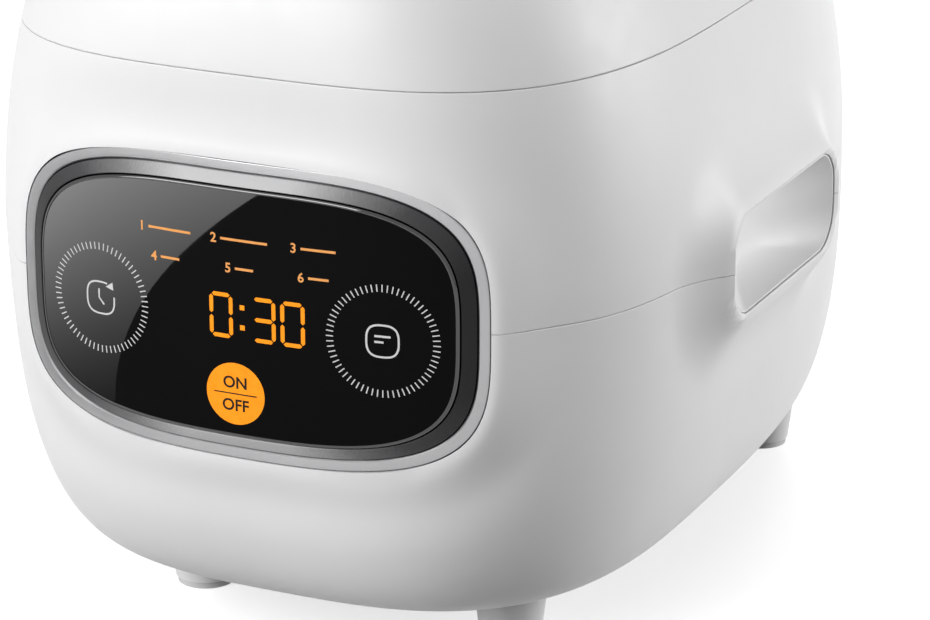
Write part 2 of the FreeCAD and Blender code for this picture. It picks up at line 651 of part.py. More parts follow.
def build_display_frame():
    ends = (f"{GLASS_Y} - wall", "board_y")
    outer = panel_prism("frame_outer", "frame_half_x", "frame_half_z", ends)
    inner = panel_prism("frame_inner", "frame_half_x - frame_wall", "frame_half_z - frame_wall", ends)
    face = panel_drum("frame_face", "glass_thick + contact_gap")
    ring = cut("frame_ring", common("frame_front", [outer, face]), [inner])
    posts, bores = [], []
    for number, (x, z) in enumerate(panel_posts()):
        posts.append(rod(f"frame_post_{number}", "post_radius", "y", ("post_front_y", "board_y"), (x, z)))
        bores.append(rod(f"frame_bore_{number}", "small_screw_radius + contact_gap", "y",
                         ("board_y - small_screw_length", "board_y + wall"), (x, z)))
    keep(cut("display_frame", fuse("frame_solid", [ring] + posts), bores), "display_frame")


def build_control_board():
    holes, screws, contacts = [], [], []
    for number, (x, z) in enumerate(panel_posts()):
        holes.append(rod(f"board_hole_{number}", "small_screw_radius + contact_gap", "y",
                         ("board_y - wall", "board_y + wall"), (x, z)))
        screws += screw(f"panel_screw_{number}", "y", "(board_y + board_thick)", (x, z), "small_screw", "+")
    board = box("board_blank", ("-board_half_x", "board_half_x"), ("board_y", "board_y + board_thick"),
                ("panel_z - board_half_z", "panel_z + board_half_z"))
    keep(cut("control_board", board, holes), "control_board")
    keep(fuse("panel_screws", screws), "panel_screws")
    keep(box("display_module", ("display_x - display_half_x", "display_x + display_half_x"),
             ("board_y - display_depth", "board_y"),
             ("panel_z - display_half_z", "panel_z + display_half_z")), "display_module")
    for number, (x, drop) in enumerate((("-key_x", "key_drop"), ("key_x", "key_drop"), ("0", "start_drop"))):
        contacts.append(rod(f"contact_{number}", "contact_radius", "y", ("board_y - contact_length", "board_y"),
                            (x, f"panel_z - {drop}")))
    keep(fuse("touch_contacts", contacts), "touch_contacts")


# Cooking parts

def build_pot_collar():
    seat = body_form("seat_form", value("wall + clearance"))
    deck = common("collar_deck", [seat, slab("collar_slab", "lid_z - collar_top_drop - collar_thick",
                                             "lid_z - collar_top_drop")])
    skirt = rod("collar_skirt", "collar_hole + skirt_wall", "z", ("skirt_low_z", "lid_z - collar_top_drop"),
                ("0", "pot_y"))
    hole = rod("collar_opening", "collar_hole", "z", ("skirt_low_z - wall", "lid_z"), ("0", "pot_y"))
    slot = box("catch_slot", ("-latch_slot_half_x", "latch_slot_half_x"),
               ("latch_slot_front_y", "latch_tip_y + latch_catch_gap"), ("latch_low_z", "lid_z"))
    recess = box("bracket_recess", ("-knuckle_outer_x - clearance", "knuckle_outer_x + clearance"),
                 ("bracket_front_y - clearance", f"{FAR}"), ("bracket_low_z", "lid_z"))
    keep(cut("pot_collar", fuse("collar_solid", [deck, skirt]), [hole, slot, recess]), "pot_collar")
    return seat


def build_cooking_parts():
    rim_top = "(lid_z - rim_drop)"
    pot = turned("inner_pot", [
        ("0", "pot_bottom_z"), ("pot_radius", "pot_bottom_z"), ("pot_radius", f"{rim_top} - rim_thick"),
        ("rim_radius", f"{rim_top} - rim_thick"), ("rim_radius", rim_top), ("pot_radius - pot_wall", rim_top),
        ("pot_radius - pot_wall", "pot_bottom_z + pot_wall"), ("0", "pot_bottom_z + pot_wall")], y="pot_y")
    keep(pot, "inner_pot")
    rounded(pot, [("pot_radius", "pot_bottom_z")], "pot_corner")
    rounded(pot, [("pot_radius - pot_wall", "pot_bottom_z + pot_wall")], "pot_corner - pot_wall")
    floor = "(shield_z + shield_wall)"
    shield = turned("shield_bowl", [
        ("shield_hole", "shield_z"), ("shield_radius + shield_wall", "shield_z"),
        ("shield_radius + shield_wall", "skirt_low_z - shield_wall"),
        ("collar_hole + skirt_wall", "skirt_low_z - shield_wall"), ("collar_hole + skirt_wall", "skirt_low_z"),
        ("shield_radius", "skirt_low_z"), ("shield_radius", floor), ("shield_hole", floor)], y="pot_y")
    terminals, openings = [], []
    for number, side in enumerate(("-", "")):
        spot = (f"{side}terminal_x", "pot_y + ring_radius - ring_drop / 2")
        terminals.append(rod(f"terminal_{number}", "terminal_radius", "z",
                             ("terminal_low_z", "plate_low_z - ring_drop"), spot))
        openings.append(rod(f"terminal_opening_{number}", "terminal_hole", "z",
                            ("shield_z - wall", "shield_z + wall"), spot))
    keep(cut("heat_shield", shield, openings), "heat_shield")
    keep(fuse("heater_terminals", terminals), "heater_terminals")
    keep(turned("heating_plate", [
        ("plate_hole", "plate_low_z"), ("ring_radius - ring_half", "plate_low_z"),
        ("ring_radius - ring_half + ring_taper", "plate_low_z - ring_drop"),
        ("ring_radius + ring_half - ring_taper", "plate_low_z - ring_drop"),
        ("ring_radius + ring_half", "plate_low_z"), ("plate_radius", "plate_low_z"),
        ("plate_radius", "pot_bottom_z - plate_chamfer"), ("plate_radius - plate_chamfer", "pot_bottom_z"),
        ("plate_hole", "pot_bottom_z")], y="pot_y"), "heating_plate")
    posts = []
    for number in range(int(value("standoff_count"))):
        turn = f"(90 + 360 * {number} / standoff_count)"
        posts.append(rod(f"standoff_{number}", "standoff_radius", "z", (floor, "plate_low_z"),
                         (f"standoff_circle * cos({turn})", f"pot_y + standoff_circle * sin({turn})")))
    keep(fuse("plate_standoffs", posts), "plate_standoffs")
    keep(rod("thermal_fuse", "fuse_radius", "x", ("-fuse_half", "fuse_half"),
             ("fuse_y", "shield_z - fuse_radius - contact_gap")), "thermal_fuse")


def build_sensor():
    top = "(pot_bottom_z - sensor_gap)"
    keep(turned("sensor_bracket", [
        ("bracket_hole", "shield_z - bracket_thick"), ("bracket_radius", "shield_z - bracket_thick"),
        ("bracket_radius", "shield_z"), ("bracket_hole", "shield_z")], y="pot_y"), "sensor_bracket")
    keep(turned("sensor_cap", [
        ("0", f"{top} - sensor_wall"), ("sensor_radius - sensor_wall", f"{top} - sensor_wall"),
        ("sensor_radius - sensor_wall", "sensor_low_z"), ("sensor_radius", "sensor_low_z"),
        ("sensor_radius", top), ("0", top)], y="pot_y"), "sensor_cap")
    ends = ("shield_z + contact_gap", f"{top} - sensor_wall - clearance")
    keep(spring_sleeve("sensor_spring", "sensor_coil", "sensor_wire", ends, "pot_y"), "sensor_spring")


# Power parts

def build_power():
    holes, screws = [], []
    for number, (x, z) in enumerate(mast_spots()):
        holes.append(rod(f"power_hole_{number}", "small_screw_radius + contact_gap", "y",
                         ("power_y - wall", "power_y + 2 * wall"), (x, z)))
        screws += screw(f"power_screw_{number}", "y", "power_y", (x, z), "small_screw", "-")
    board = box("power_blank", ("-power_half_x", "power_half_x"), ("power_y", "power_y + board_thick"),
                ("power_low_z", "power_high_z"))
    keep(cut("power_board", board, holes), "power_board")
    keep(fuse("power_screws", screws), "power_screws")
    keep(box("relay", ("relay_x - relay_half", "relay_x + relay_half"), ("power_y - relay_height", "power_y"),
             ("relay_z - relay_half_z", "relay_z + relay_half_z")), "relay")
    keep(box("transformer", ("transformer_x - transformer_half", "transformer_x + transformer_half"),
             ("power_y - transformer_height", "power_y"),
             ("transformer_z - transformer_half", "transformer_z + transformer_half")), "transformer")
    keep(rod("capacitor", "capacitor_radius", "y", ("power_y - capacitor_height", "power_y"),
             ("capacitor_x", "capacitor_z")), "capacitor")
    block = box("inlet_block", ("-inlet_half_x", "inlet_half_x"), ("inlet_front_y", "inlet_rear_y"),
                ("inlet_z - inlet_half_z", "inlet_z + inlet_half_z"))
    socket = box("inlet_socket", ("-socket_half_x", "socket_half_x"), ("socket_floor_y", f"{FAR}"),
                 ("inlet_z - socket_half_z", "inlet_z + socket_half_z"))
    keep(cut("power_inlet", block, [socket]), "power_inlet")
    prongs = []
    for number in range(-1, 2):
        x = f"({number} * prong_pitch)"
        prongs.append(box(f"prong_{number + 1}", (f"{x} - prong_half_x", f"{x} + prong_half_x"),
                          ("socket_floor_y", "socket_floor_y + prong_length"),
                          ("inlet_z - prong_half_z", "inlet_z + prong_half_z")))
    keep(fuse("inlet_pins", prongs), "inlet_pins")


# Hinge

HINGE = ("hinge_y", "lid_z + hinge_rise")


def build_hinge():
    members = [box("hinge_bar", ("-knuckle_outer_x", "knuckle_outer_x"), ("bracket_front_y", "bracket_rear_y"),
                   ("bracket_low_z", "bracket_bar_z"))]
    for side, low, high in (("left", "-knuckle_outer_x", "-knuckle_inner_x"),
                            ("right", "knuckle_inner_x", "knuckle_outer_x")):
        members.append(box(f"hinge_post_{side}", (low, high), ("bracket_front_y", "bracket_rear_y"),
                           ("bracket_low_z", "lid_z - lid_gap")))
        members.append(box(f"hinge_web_{side}", (low, high), ("web_front_y", "hinge_y"),
                           ("lid_z - web_half", "lid_z - lid_gap")))
        members.append(rod(f"hinge_knuckle_{side}", "knuckle_radius", "x", (low, high), HINGE))
    bore = rod("hinge_bore", "pin_radius + pin_fit", "x",
               ("-2 * knuckle_outer_x", "2 * knuckle_outer_x"), HINGE)
    keep(cut("hinge_base", fuse("hinge_solid", members), [bore]), "hinge_base")
    keep(rod("hinge_pin", "pin_radius", "x", ("-knuckle_outer_x", "knuckle_outer_x"), HINGE), "hinge_pin")
    ends = ("-hinge_coil_half", "hinge_coil_half")
    keep(coil("hinge_spring", "hinge_coil", "hinge_wire", "hinge_pitch", ends, Rotation(Vector(0, 1, 0), 90),
              x="hinge_wire / 2 - hinge_coil_half", y=HINGE[0], z=HINGE[1]), "hinge_spring")
    build_lid_arm(bore)


def build_lid_arm(bore):
    low = "(lid_z + liner_rise + liner_thick)"
    members = [box("arm_plate", ("-arm_knuckle_outer_x", "arm_knuckle_outer_x"),
                   ("arm_front_y", "bracket_rear_y"),
                   (low, f"{low} + arm_thick"))]
    for side, start, end in (("left", "-arm_knuckle_outer_x", "-arm_knuckle_inner_x"),
                             ("right", "arm_knuckle_inner_x", "arm_knuckle_outer_x")):
        members.append(box(f"arm_web_{side}", (start, end), ("web_front_y + web_half", "hinge_y"),
                           (low, f"{low} + arm_thick / 2")))
        members.append(rod(f"arm_knuckle_{side}", "knuckle_radius", "x", (start, end), HINGE))
    keep(cut("lid_hinge_arm", fuse("arm_solid", members), [bore]), "lid_hinge_arm")


# Lid

def build_lid_liner(seat, notch):
    low, high = "lid_z + liner_rise", "(lid_z + liner_rise + liner_thick)"
    plate = common("liner_plate", [seat, slab("liner_slab", low, high)])
    members = [plate, rod("liner_stud", "stud_radius", "z", (f"{low} - stud_drop", high), ("0", "pot_y"))]
    for side, start, end in (("left", "-ear_outer_x", "-ear_inner_x"), ("right", "ear_inner_x", "ear_outer_x")):
        members.append(box(f"latch_ear_{side}", (start, end), ("latch_y - ear_half_y", "latch_y + ear_half_y"),
                           (low, "ear_top_z")))
    openings = [notch]
    openings.append(rod("liner_vent", "vent_tube + vent_tube_wall + clearance", "z",
                        (f"{low} - wall", f"{high} + wall"),
                        ("0", "vent_y")))
    openings.append(box("liner_slot", ("-ear_inner_x + contact_gap", "ear_inner_x - contact_gap"),
                        ("latch_slot_front_y", "latch_tip_y + latch_slot_room"),
                        (f"{low} - wall", f"{high} + wall")))
    openings.append(rod("ear_bore", "pin_radius + pin_fit", "x", ("-2 * ear_outer_x", "2 * ear_outer_x"),
                        ("latch_y", "latch_z")))
    screws = []
    for number, (x, y) in enumerate(lid_spots()):
        openings.append(rod(f"liner_hole_{number}", "screw_radius + contact_gap", "z",
                            (f"{low} - wall", f"{high} + wall"),
                            (x, y)))
        screws += screw(f"lid_screw_{number}", "z", f"({low})", (x, y), "screw", "-")
    keep(cut("lid_liner", fuse("liner_solid", members), openings), "lid_liner")
    keep(fuse("lid_screws", screws), "lid_screws")


def build_inner_lid():
    low = "(lid_z - inner_lid_drop)"
    high = f"({low} + inner_lid_thick)"
    disc = turned("inner_lid_disc", [("inner_lid_hole", low), ("inner_lid_radius", low),
                                     ("inner_lid_radius", high),
                                     ("inner_lid_hole", high)], y="pot_y")
    hole = rod("inner_lid_vent", "steam_hole", "z", (f"{low} - wall", f"{high} + wall"), ("0", "vent_y"))
    keep(cut("inner_lid", disc, [hole]), "inner_lid")
    rim, lip = "(lid_z - rim_drop + clearance)", "gasket_lip_thick"
    edge = "(inner_lid_radius + contact_gap)"
    keep(turned("lid_gasket", [
        ("gasket_groove", f"{low} - {lip}"), ("gasket_body - 2 * gasket_step", f"{low} - {lip}"),
        ("gasket_body - gasket_step", rim),
        ("gasket_lip", rim), ("gasket_lip", f"{rim} + {lip}"), ("gasket_body", f"{rim} + 2 * {lip}"),
        ("gasket_body", f"{high} + {lip}"), ("gasket_groove", f"{high} + {lip}"), ("gasket_groove", high),
        (edge, high), (edge, low), ("gasket_groove", low)], y="pot_y"), "lid_gasket")
    hub = "(stud_radius + contact_gap)"
    throat = "(inner_lid_hole - contact_gap)"
    keep(turned("inner_lid_grommet", [
        (hub, f"{low} - {lip}"), ("grommet_radius", f"{low} - {lip}"), ("grommet_radius", low), (throat, low),
        (throat, high), ("grommet_radius", high), ("grommet_radius", f"{high} + {lip}"),
        (hub, f"{high} + {lip}")],
        y="pot_y"), "inner_lid_grommet")


def build_vent():
    tube, cup = "(vent_tube + vent_tube_wall)", "(cup_radius + cup_wall)"
    floor = "(vent_floor_z + vent_floor_thick)"
    keep(turned("vent_cup", [
        ("vent_tube", "lid_z"), (tube, "lid_z"), (tube, "vent_floor_z"), (cup, "vent_floor_z"), (cup, "top_z"),
        ("cup_flange", "top_z"), ("cup_flange", "top_z + flange_thick"), ("cup_radius", "top_z + flange_thick"),
        ("cup_radius", floor), ("vent_tube", floor)], y="vent_y"), "vent_cup")
    low = "(top_z + flange_thick + clearance)"
    cap = turned("cap_blank", [
        ("plug_radius - plug_wall", "plug_low_z"), ("plug_radius", "plug_low_z"), ("plug_radius", low),
        ("cap_radius", low), ("cap_radius", f"{low} + cap_thick"), ("0", f"{low} + cap_thick"), ("0", low),
        ("plug_radius - plug_wall", low)], y="vent_y")
    rounded(cap, [("cap_radius", f"{low} + cap_thick")], "cap_round")
    slots = []
    for number in range(int(value("slot_count"))):
        y = f"(vent_y + ({number} - (slot_count - 1) / 2) * slot_pitch)"
        slots.append(box(f"steam_slot_{number}", ("-slot_half_x", "slot_half_x"),
                         (f"{y} - slot_half_y", f"{y} + slot_half_y"),
                         (f"{low} - wall", f"{low} + 2 * cap_thick")))
    keep(cut("steam_cap", cap, slots), "steam_cap")
    keep(turned("steam_cap_seal", [
        ("seal_inner", "plug_low_z - seal_height"), ("seal_radius", "plug_low_z - seal_height"),
        ("seal_radius", "plug_low_z"), ("seal_inner", "plug_low_z")], y="vent_y"), "steam_cap_seal")


def button_prism(name, grow, low, high):
    """Upright block with the button outline grown by a margin."""
    half_x, half_y = value(f"button_half_x + {grow}"), value(f"button_half_y + {grow}")

    def spot(across, up):
        return Vector(across, value("button_y") + up, value(low))
    wire = rounded_wire(half_x, half_y, half_y - value("contact_gap"), spot)
    return formed(name, Part.Face(wire).extrude(Vector(0, 0, value(high) - value(low))))


def build_button():
    lip_top = "(top_z - wall - clearance)"
    lip_low = f"({lip_top} - button_lip_thick)"
    keep(fuse("release_button", [
        button_prism("button_head", "0", lip_low, "top_z + button_rise"),
        button_prism("button_flange", "button_lip", lip_low, lip_top),
        rod("button_stem", "button_stem", "z", ("lever_top_z + lever_gap", f"{lip_low} + wall"),
            ("0", "button_y"))]),
        "release_button")


def build_latch():
    body = doc.addObject("PartDesign::Body", "latch_blank")
    sketch = outline_sketch(body, "YZ_Plane", [
        ("latch_lever_y", "lever_top_z"), ("latch_y - latch_shoulder", "lever_top_z"),
        ("latch_stem_front_y", "latch_z - latch_bend"), ("latch_stem_front_y", "latch_low_z"),
        ("latch_stem_rear_y", "latch_low_z"), ("latch_tip_y", "latch_tip_z - latch_tip_height"),
        ("latch_tip_y", "latch_tip_z"),
        ("latch_stem_rear_y", "latch_tip_z"), ("latch_stem_rear_y", "latch_z - latch_heel"),
        ("latch_y + latch_web", "latch_z - latch_shoulder"), ("latch_lever_y", "lever_low_z")])
    pad = body.newObject("PartDesign::Pad", "latch_pad")
    pad.Profile = sketch
    pad.SideType = "Symmetric"
    bind(pad, {"Length": "2 * latch_half_x"})
    bore = rod("latch_bore", "pin_radius + pin_fit", "x", ("-2 * latch_half_x", "2 * latch_half_x"),
               ("latch_y", "latch_z"))
    keep(cut("latch_hook", body, [bore]), "latch_hook")
    keep(rod("latch_pin", "pin_radius", "x",
             ("-ear_outer_x - pin_overhang", "ear_outer_x + pin_overhang"), ("latch_y", "latch_z")),
         "latch_pin")
    ends = ("lid_z + liner_rise + liner_thick + contact_gap", "latch_coil_top_z")
    keep(spring_sleeve("latch_spring", "latch_coil", "latch_wire", ends, "latch_coil_y"), "latch_spring")


def write_steps():
    os.makedirs("parts", exist_ok=True)
    doc.recompute()
    faults = [thing.Name for thing in doc.Objects if {"Invalid", "Error"} & set(thing.State)]
    faults += [piece.Label for piece in pieces if piece.Shape.isNull() or not piece.Shape.isValid()]
    if faults:
        raise RuntimeError("faulty objects: " + ", ".join(faults))
    for piece in pieces:
        piece.Shape.exportStep(os.path.join("parts", piece.Label + ".step"))


hinge_notch = build_shells()
build_feet()
build_bottom_cover()
build_handle_pockets()
build_panel()
seat_form = build_pot_collar()
build_cooking_parts()
build_sensor()
build_power()
build_hinge()
build_lid_liner(seat_form, hinge_notch)
build_inner_lid()
build_vent()
build_button()
build_latch()
write_steps()
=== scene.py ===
import json
import math

import bmesh
import bpy
from mathutils import Matrix, Vector


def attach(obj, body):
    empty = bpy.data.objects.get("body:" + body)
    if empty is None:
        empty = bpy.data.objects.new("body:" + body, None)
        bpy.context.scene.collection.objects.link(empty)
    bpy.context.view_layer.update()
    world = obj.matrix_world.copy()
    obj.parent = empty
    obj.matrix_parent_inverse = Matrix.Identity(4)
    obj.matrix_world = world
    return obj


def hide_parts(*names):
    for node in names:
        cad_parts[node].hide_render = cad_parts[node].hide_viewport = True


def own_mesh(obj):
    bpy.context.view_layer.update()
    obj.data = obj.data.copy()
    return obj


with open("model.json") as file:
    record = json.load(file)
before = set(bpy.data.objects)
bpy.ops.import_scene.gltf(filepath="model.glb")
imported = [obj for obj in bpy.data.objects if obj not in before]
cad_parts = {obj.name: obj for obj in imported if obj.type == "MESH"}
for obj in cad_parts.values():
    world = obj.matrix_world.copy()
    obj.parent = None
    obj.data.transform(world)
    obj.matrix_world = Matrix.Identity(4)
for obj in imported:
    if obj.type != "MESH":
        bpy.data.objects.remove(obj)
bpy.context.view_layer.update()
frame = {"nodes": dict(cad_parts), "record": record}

MM = 0.001

# Outer form in millimetres: superellipse outlines whose insets follow superellipse quarters.
# Insets are pairs of depth and power for the sides, front and rear; powers are for base, belly and top
MIDDLE_Y = -18.8
BASE_Z = 19.8
BELLY_Z = 119.4
TOP_Z = 214.0
HALF_WIDTH = 102.2
FRONT_DEPTH = 120.5
REAR_DEPTH = 158.5
LOW_INSETS = ((34.4, 2.68), (41.6, 3.25), (5.1, 2.44))
HIGH_INSETS = ((30.9, 1.79), (26.0, 3.6), (23.9, 2.4))
FRONT_POWERS = (2.99, 3.42, 3.26)
REAR_POWERS = (3.05, 2.79, 2.45)

# Shells: wall, the two seams and the number of rows of points
WALL = 2.6
SEAM_LOW = 112.4
SEAM_HIGH = 112.6
LID_SEAM_LOW = 176.07
LID_SEAM_HIGH = 176.33
EDGE_ROUND = 0.18
EDGE_STEPS = 4
AROUND = 480
EDGE_CLEAR = 0.3
COVER_MARGIN = 9.0
BASE_MARGIN = 1.0
BASE_STEP = 0.02
LID_SKIRT_Z = 200.0
LOWER_ROWS = 60
LOWER_INNER_ROWS = 30
UPPER_ROWS = 36
UPPER_INNER_ROWS = 24
LID_ROWS = 44
LID_INNER_ROWS = 12
TOP_RINGS = 70
SHARP_ANGLE = 32.0

# Handles: raised lip, grip hole and finger scoop
HANDLE_FROM_X = 80.0
LIP_X = 109.7
HANDLE_Y = -16.3
HANDLE_Z = 112.5
GRIP_HALF_Y = 40.0
GRIP_HALF_Z = 14.75
GRIP_CORNER = 11.5
LIP_WIDTH = 2.0
GRIP_FLARE = 21.0
GRIP_RIM = 9.0
LIP_ROUND = 1.4
LIP_FALL = 0.6
FADE_POWER = 2.2
SCOOP_MOUTH = 108.7
SCOOP_DEPTH = 12.5
SCOOP_FOOT = 98.0
SCOOP_GAP = 0.3
SCOOP_EDGE = 0.8
SCOOP_RINGS = 40
SCOOP_CORNER_RATE = 3
CORNER_STEPS = 16
SIDE_STEPS = 30

# Openings in the rear and the top, and how points are moved onto an outline
SNAP_ROUNDS = 4
SNAP_STEP = 0.01
REAR_FROM_Y = 80.0
REAR_CORNER = 1.0
REAR_RIM = 5.0
TOP_SLACK = 0.5
TOP_RIM = 3.0
NOTCH_Z = 176.7
NOTCH_HALF_X = 26.5
NOTCH_HALF_Z = 5.7
INLET_Z = 47.0
INLET_HALF_X = 15.3
INLET_HALF_Z = 10.3
VENT_Y = 50.0
VENT_RADIUS = 22.0
VENT_CORNER = 21.99
BUTTON_Y = -88.0
BUTTON_HALF_X = 17.3
BUTTON_HALF_Y = 7.8
BUTTON_CORNER = 7.7

# Enclosed springs: place, ends by height, coil radius and wire, in millimetres
SENSOR_Y = -12.0
SENSOR_ENDS = (50.1, 68.1)
SENSOR_COIL = 9.0
SENSOR_WIRE = 1.2
LATCH_Y = -93.0
LATCH_ENDS = (179.5, 189.6)
LATCH_COIL = 3.2
LATCH_WIRE = 0.8
SPRING_TURNS = 5
TURN_STEPS = 32
WIRE_SIDES = 12

# Panel sizes in millimetres, on the curved glass in front of the shell
PANEL_POWER = 3.5
PANEL_POINTS = 288
PANEL_FROM_Y = -60.0
WINDOW_FROM_Y = -90.0
WINDOW_SIDE_X = 80.0
WINDOW_RIM = 6.0
FAR_INSIDE = 0.3
WINDOW_HALF = (69.9, 41.9)
COLLAR_HALF = (71.6, 43.6)
COLLAR_DROP = 2.3
COLLAR_FLARE = 13.0
PANEL_RECESS = 0.9
RECESS_REACH = 24.0
RECESS_PEAK = 27 / 4
BEZEL_HALF = (69.6, 41.6)
BEZEL_INNER = (66.6, 38.6)
BEZEL_DROP = 2.2
BEZEL_ROUND = 0.35
BEZEL_CHAMFER = 0.4
TRIM_HALF = (66.3, 38.3)
TRIM_INNER = (62.9, 35.05)
TRIM_DROP = 0.5
TRIM_EDGE = ((0.5, 0.15), (0.15, 0.05), (0.0, 0.2))
GLASS_HALF = (62.6, 34.75)
GLASS_THICK = 2.4
GLASS_DROP = 0.1
GLASS_ROUND = 0.7
GLASS_RIM = 0.9
GLASS_RINGS = 30
GLASS_BACK_HALF = (1.0, 1.0)
ROUND_STEPS = 6
PANEL_BACK = 9.2
GLASS_RADIUS = 297.5
GLASS_AXIS_Y = 156.8
PANEL_Z = 111.4

# Prints on the glass, in millimetres from the panel's middle
PRINT_DROP = 0.06
WORD_LIFT = 0.03
STRIP_WIDTH = 2.0

RING_X = 42.2
RING_DZ = -2.4
RING_TICKS = 64
TICK_INNER = 13.6
TICK_OUTER = 15.6
TICK_WIDTH = 0.32

SIGN_POWER = 2.9
TIMER_RADIUS = 4.5
TIMER_ARC = (62, 370)
TIMER_LINE = 0.5
TIMER_HANDS = ((-0.5, 2.5), (-0.5, 0.0), (1.1, -1.8))
TIMER_ARROW = ((1.8, 3.4), (4.3, 2.7), (4.1, 5.0))
MENU_RADIUS = 4.4
MENU_LINE = 0.55
MENU_BAR = 0.6
MENU_BARS = ((-2.2, 2.2, 1.3), (-2.2, 0.3, -0.3))

LABEL_COLUMNS = (-20.8, 1.7, 23.1)
LABEL_ROWS = (20.6, 12.7)
LABEL_WIDTHS = ((16.3, 17.0, 13.0), (9.0, 8.6, 9.0))
NUMBER_HEIGHT = 2.72
NUMBER_X = 1.1
LABEL_BAR_X = 3.2
LABEL_BAR = 0.7

DIGIT_HEIGHT = 12.6
DIGIT_WIDTH = 7.0
DIGIT_BAR = 1.15
DIGIT_GAP = 0.25
DIGIT_DZ = -0.75
DIGIT_CENTRES = ((-3.8, "0"), (8.8, "3"), (17.2, "0"))
COLON_X = 2.5
COLON_SPREAD = 2.8
COLON_SIZE = 1.4

LETTER_WEIGHT = 0.02
LETTER_STEPS = 4
DISC_DZ = -22.5
DISC_RADIUS = 8.7
DISC_POINTS = 96
DISC_LINE = 0.35
DISC_LINE_HALF = 6.4
WORD_DZ = 3.2
WORD_HEIGHT = 3.4

# Card that the glass mirrors, given by its image on the glass in millimetres; its arc is a parabola
CARD_Z = 1.0
CARD_LEFT = -75.0
CARD_HALF_Z = 42.0
CARD_ARC = (-27.7, 0.678, 0.0107)
CARD_STEPS = 24
CARD_GLOW = 90.0
CARD_FAINT = 0.04
CARD_RISE = 1.6
CARD_FADE = 0.45

# Camera: angles in degrees, place, lens and sensor in millimetres, range in metres
CAMERA_AZIMUTH = 24.846
CAMERA_ELEVATION = 19.066
CAMERA_PLACE = (457.18, -982.61, 442.95)
CAMERA_LENS = 148.32
CAMERA_SENSOR = 36.0
CAMERA_RANGE = (0.05, 30.0)

# Floor and light in metres; tones are for light rays and for seen rays
FLOOR_REACH = 6.0
FLOOR_TONES = (0.13, 0.8)
FLOOR_GLOW = 0.6
WORLD_TONES = (0.09, 1.0)
LAMP_AIM = (0, 0, 0.11)

# Lamps: name, azimuth and elevation in degrees, distance and size in metres, power in watts
LAMPS = (
    ("left_lamp", -25, 21, 1.6, (1.1, 0.9), 25),
    ("right_lamp", 117, 14, 1.6, (0.9, 0.9), 19),
    ("top_lamp", -60, 75, 1.7, (1.0, 1.0), 1.0),
    ("rear_lamp", 200, 28, 1.8, (1.2, 0.9), 14),
)

# Materials: noise features per metre, bump depths in metres, and the noise range in use
NOISE_LOW = 0.3
NOISE_HIGH = 0.7
DRIFT_SCALE = 22.0
UNEVEN_SCALE = 160.0
TEXTURE_DEPTH = 0.00005
LINE_SCALE = 420.0
LINE_DETAIL = 6.0
LINE_STRENGTH = 0.15
LINE_DEPTH = 0.00004
CLOUD_SCALE = 40.0
SPUN_SCALE = 700.0
SPUN_SHARE = 0.12
FLECK_SCALE = 700.0
COATING_SCALE = 300.0
COATING_DEPTH = 0.00008
TRACK_SCALE = 160.0
TRACK_GAP = 0.03
BOARD_SCALE = 200.0
SMEAR_SCALE = 30.0
GLASS_SCALE = 12.0
INK_SCALE = 400.0


# Node helpers

def new_material(name):
    material = bpy.data.materials.new(name)
    material.use_nodes = True
    return material


def shader_of(material):
    return material.node_tree.nodes["Principled BSDF"]


def add_node(material, kind, inputs=None, **attributes):
    """Adds a node; an input value that is an output socket is linked, any other is set."""
    node = material.node_tree.nodes.new(kind)
    for key, setting in attributes.items():
        setattr(node, key, setting)
    for key, setting in (inputs or {}).items():
        feed(material, node, key, setting)
    return node


def feed(material, node, key, setting):
    if isinstance(setting, bpy.types.NodeSocket):
        material.node_tree.links.new(setting, node.inputs[key])
    else:
        node.inputs[key].default_value = setting


def grain(material, scale, detail=4.0, stretch=(1.0, 1.0, 1.0)):
    """Noise value in object space; scale counts features per metre."""
    place = add_node(material, "ShaderNodeTexCoord")
    spread = add_node(material, "ShaderNodeMapping", {"Vector": place.outputs["Object"], "Scale": stretch})
    noise = add_node(material, "ShaderNodeTexNoise",
                     {"Vector": spread.outputs["Vector"], "Scale": scale, "Detail": detail})
    return noise.outputs["Fac"]


def ramp(material, source, stops):
    """Colour ramp through pairs of position and colour."""
    node = add_node(material, "ShaderNodeValToRGB", {"Fac": source})
    elements = node.color_ramp.elements
    while len(elements) < len(stops):
        elements.new(0.5)
    for element, (position, colour) in zip(elements, stops):
        element.position = position
        element.color = (*colour, 1.0)
    return node.outputs["Color"]


def span(material, source, low, high):
    node = add_node(material, "ShaderNodeMapRange", {
        "Value": source, "From Min": NOISE_LOW, "From Max": NOISE_HIGH, "To Min": low, "To Max": high})
    return node.outputs["Result"]


def bump(material, source, strength, distance):
    node = add_node(material, "ShaderNodeBump",
                    {"Height": source, "Strength": strength, "Distance": distance})
    return node.outputs["Normal"]


def math_node(material, operation, *values):
    inputs = dict(enumerate(values))
    return add_node(material, "ShaderNodeMath", inputs, operation=operation).outputs["Value"]


def blotches(material, scale, dark, light):
    """Slow drift between two colours."""
    return ramp(material, grain(material, scale), ((NOISE_LOW, dark), (NOISE_HIGH, light)))


def finish_shader(material, settings):
    for key, setting in settings.items():
        feed(material, shader_of(material), key, setting)
    return material


# Materials

def grey(level, blue=0.0):
    return level, level, level + blue


def moulded(name, dark, light, rough, texture, strength, extra=None):
    """Moulded plastic or rubber: slight colour drift, uneven gloss and a fine surface texture."""
    material = new_material(name)
    uneven = grain(material, UNEVEN_SCALE)
    fine = grain(material, texture, 2.0)
    return finish_shader(material, {
        "Base Color": blotches(material, DRIFT_SCALE, dark, light),
        "Roughness": span(material, uneven, *rough),
        "Normal": bump(material, fine, strength, TEXTURE_DEPTH),
        **(extra or {})})


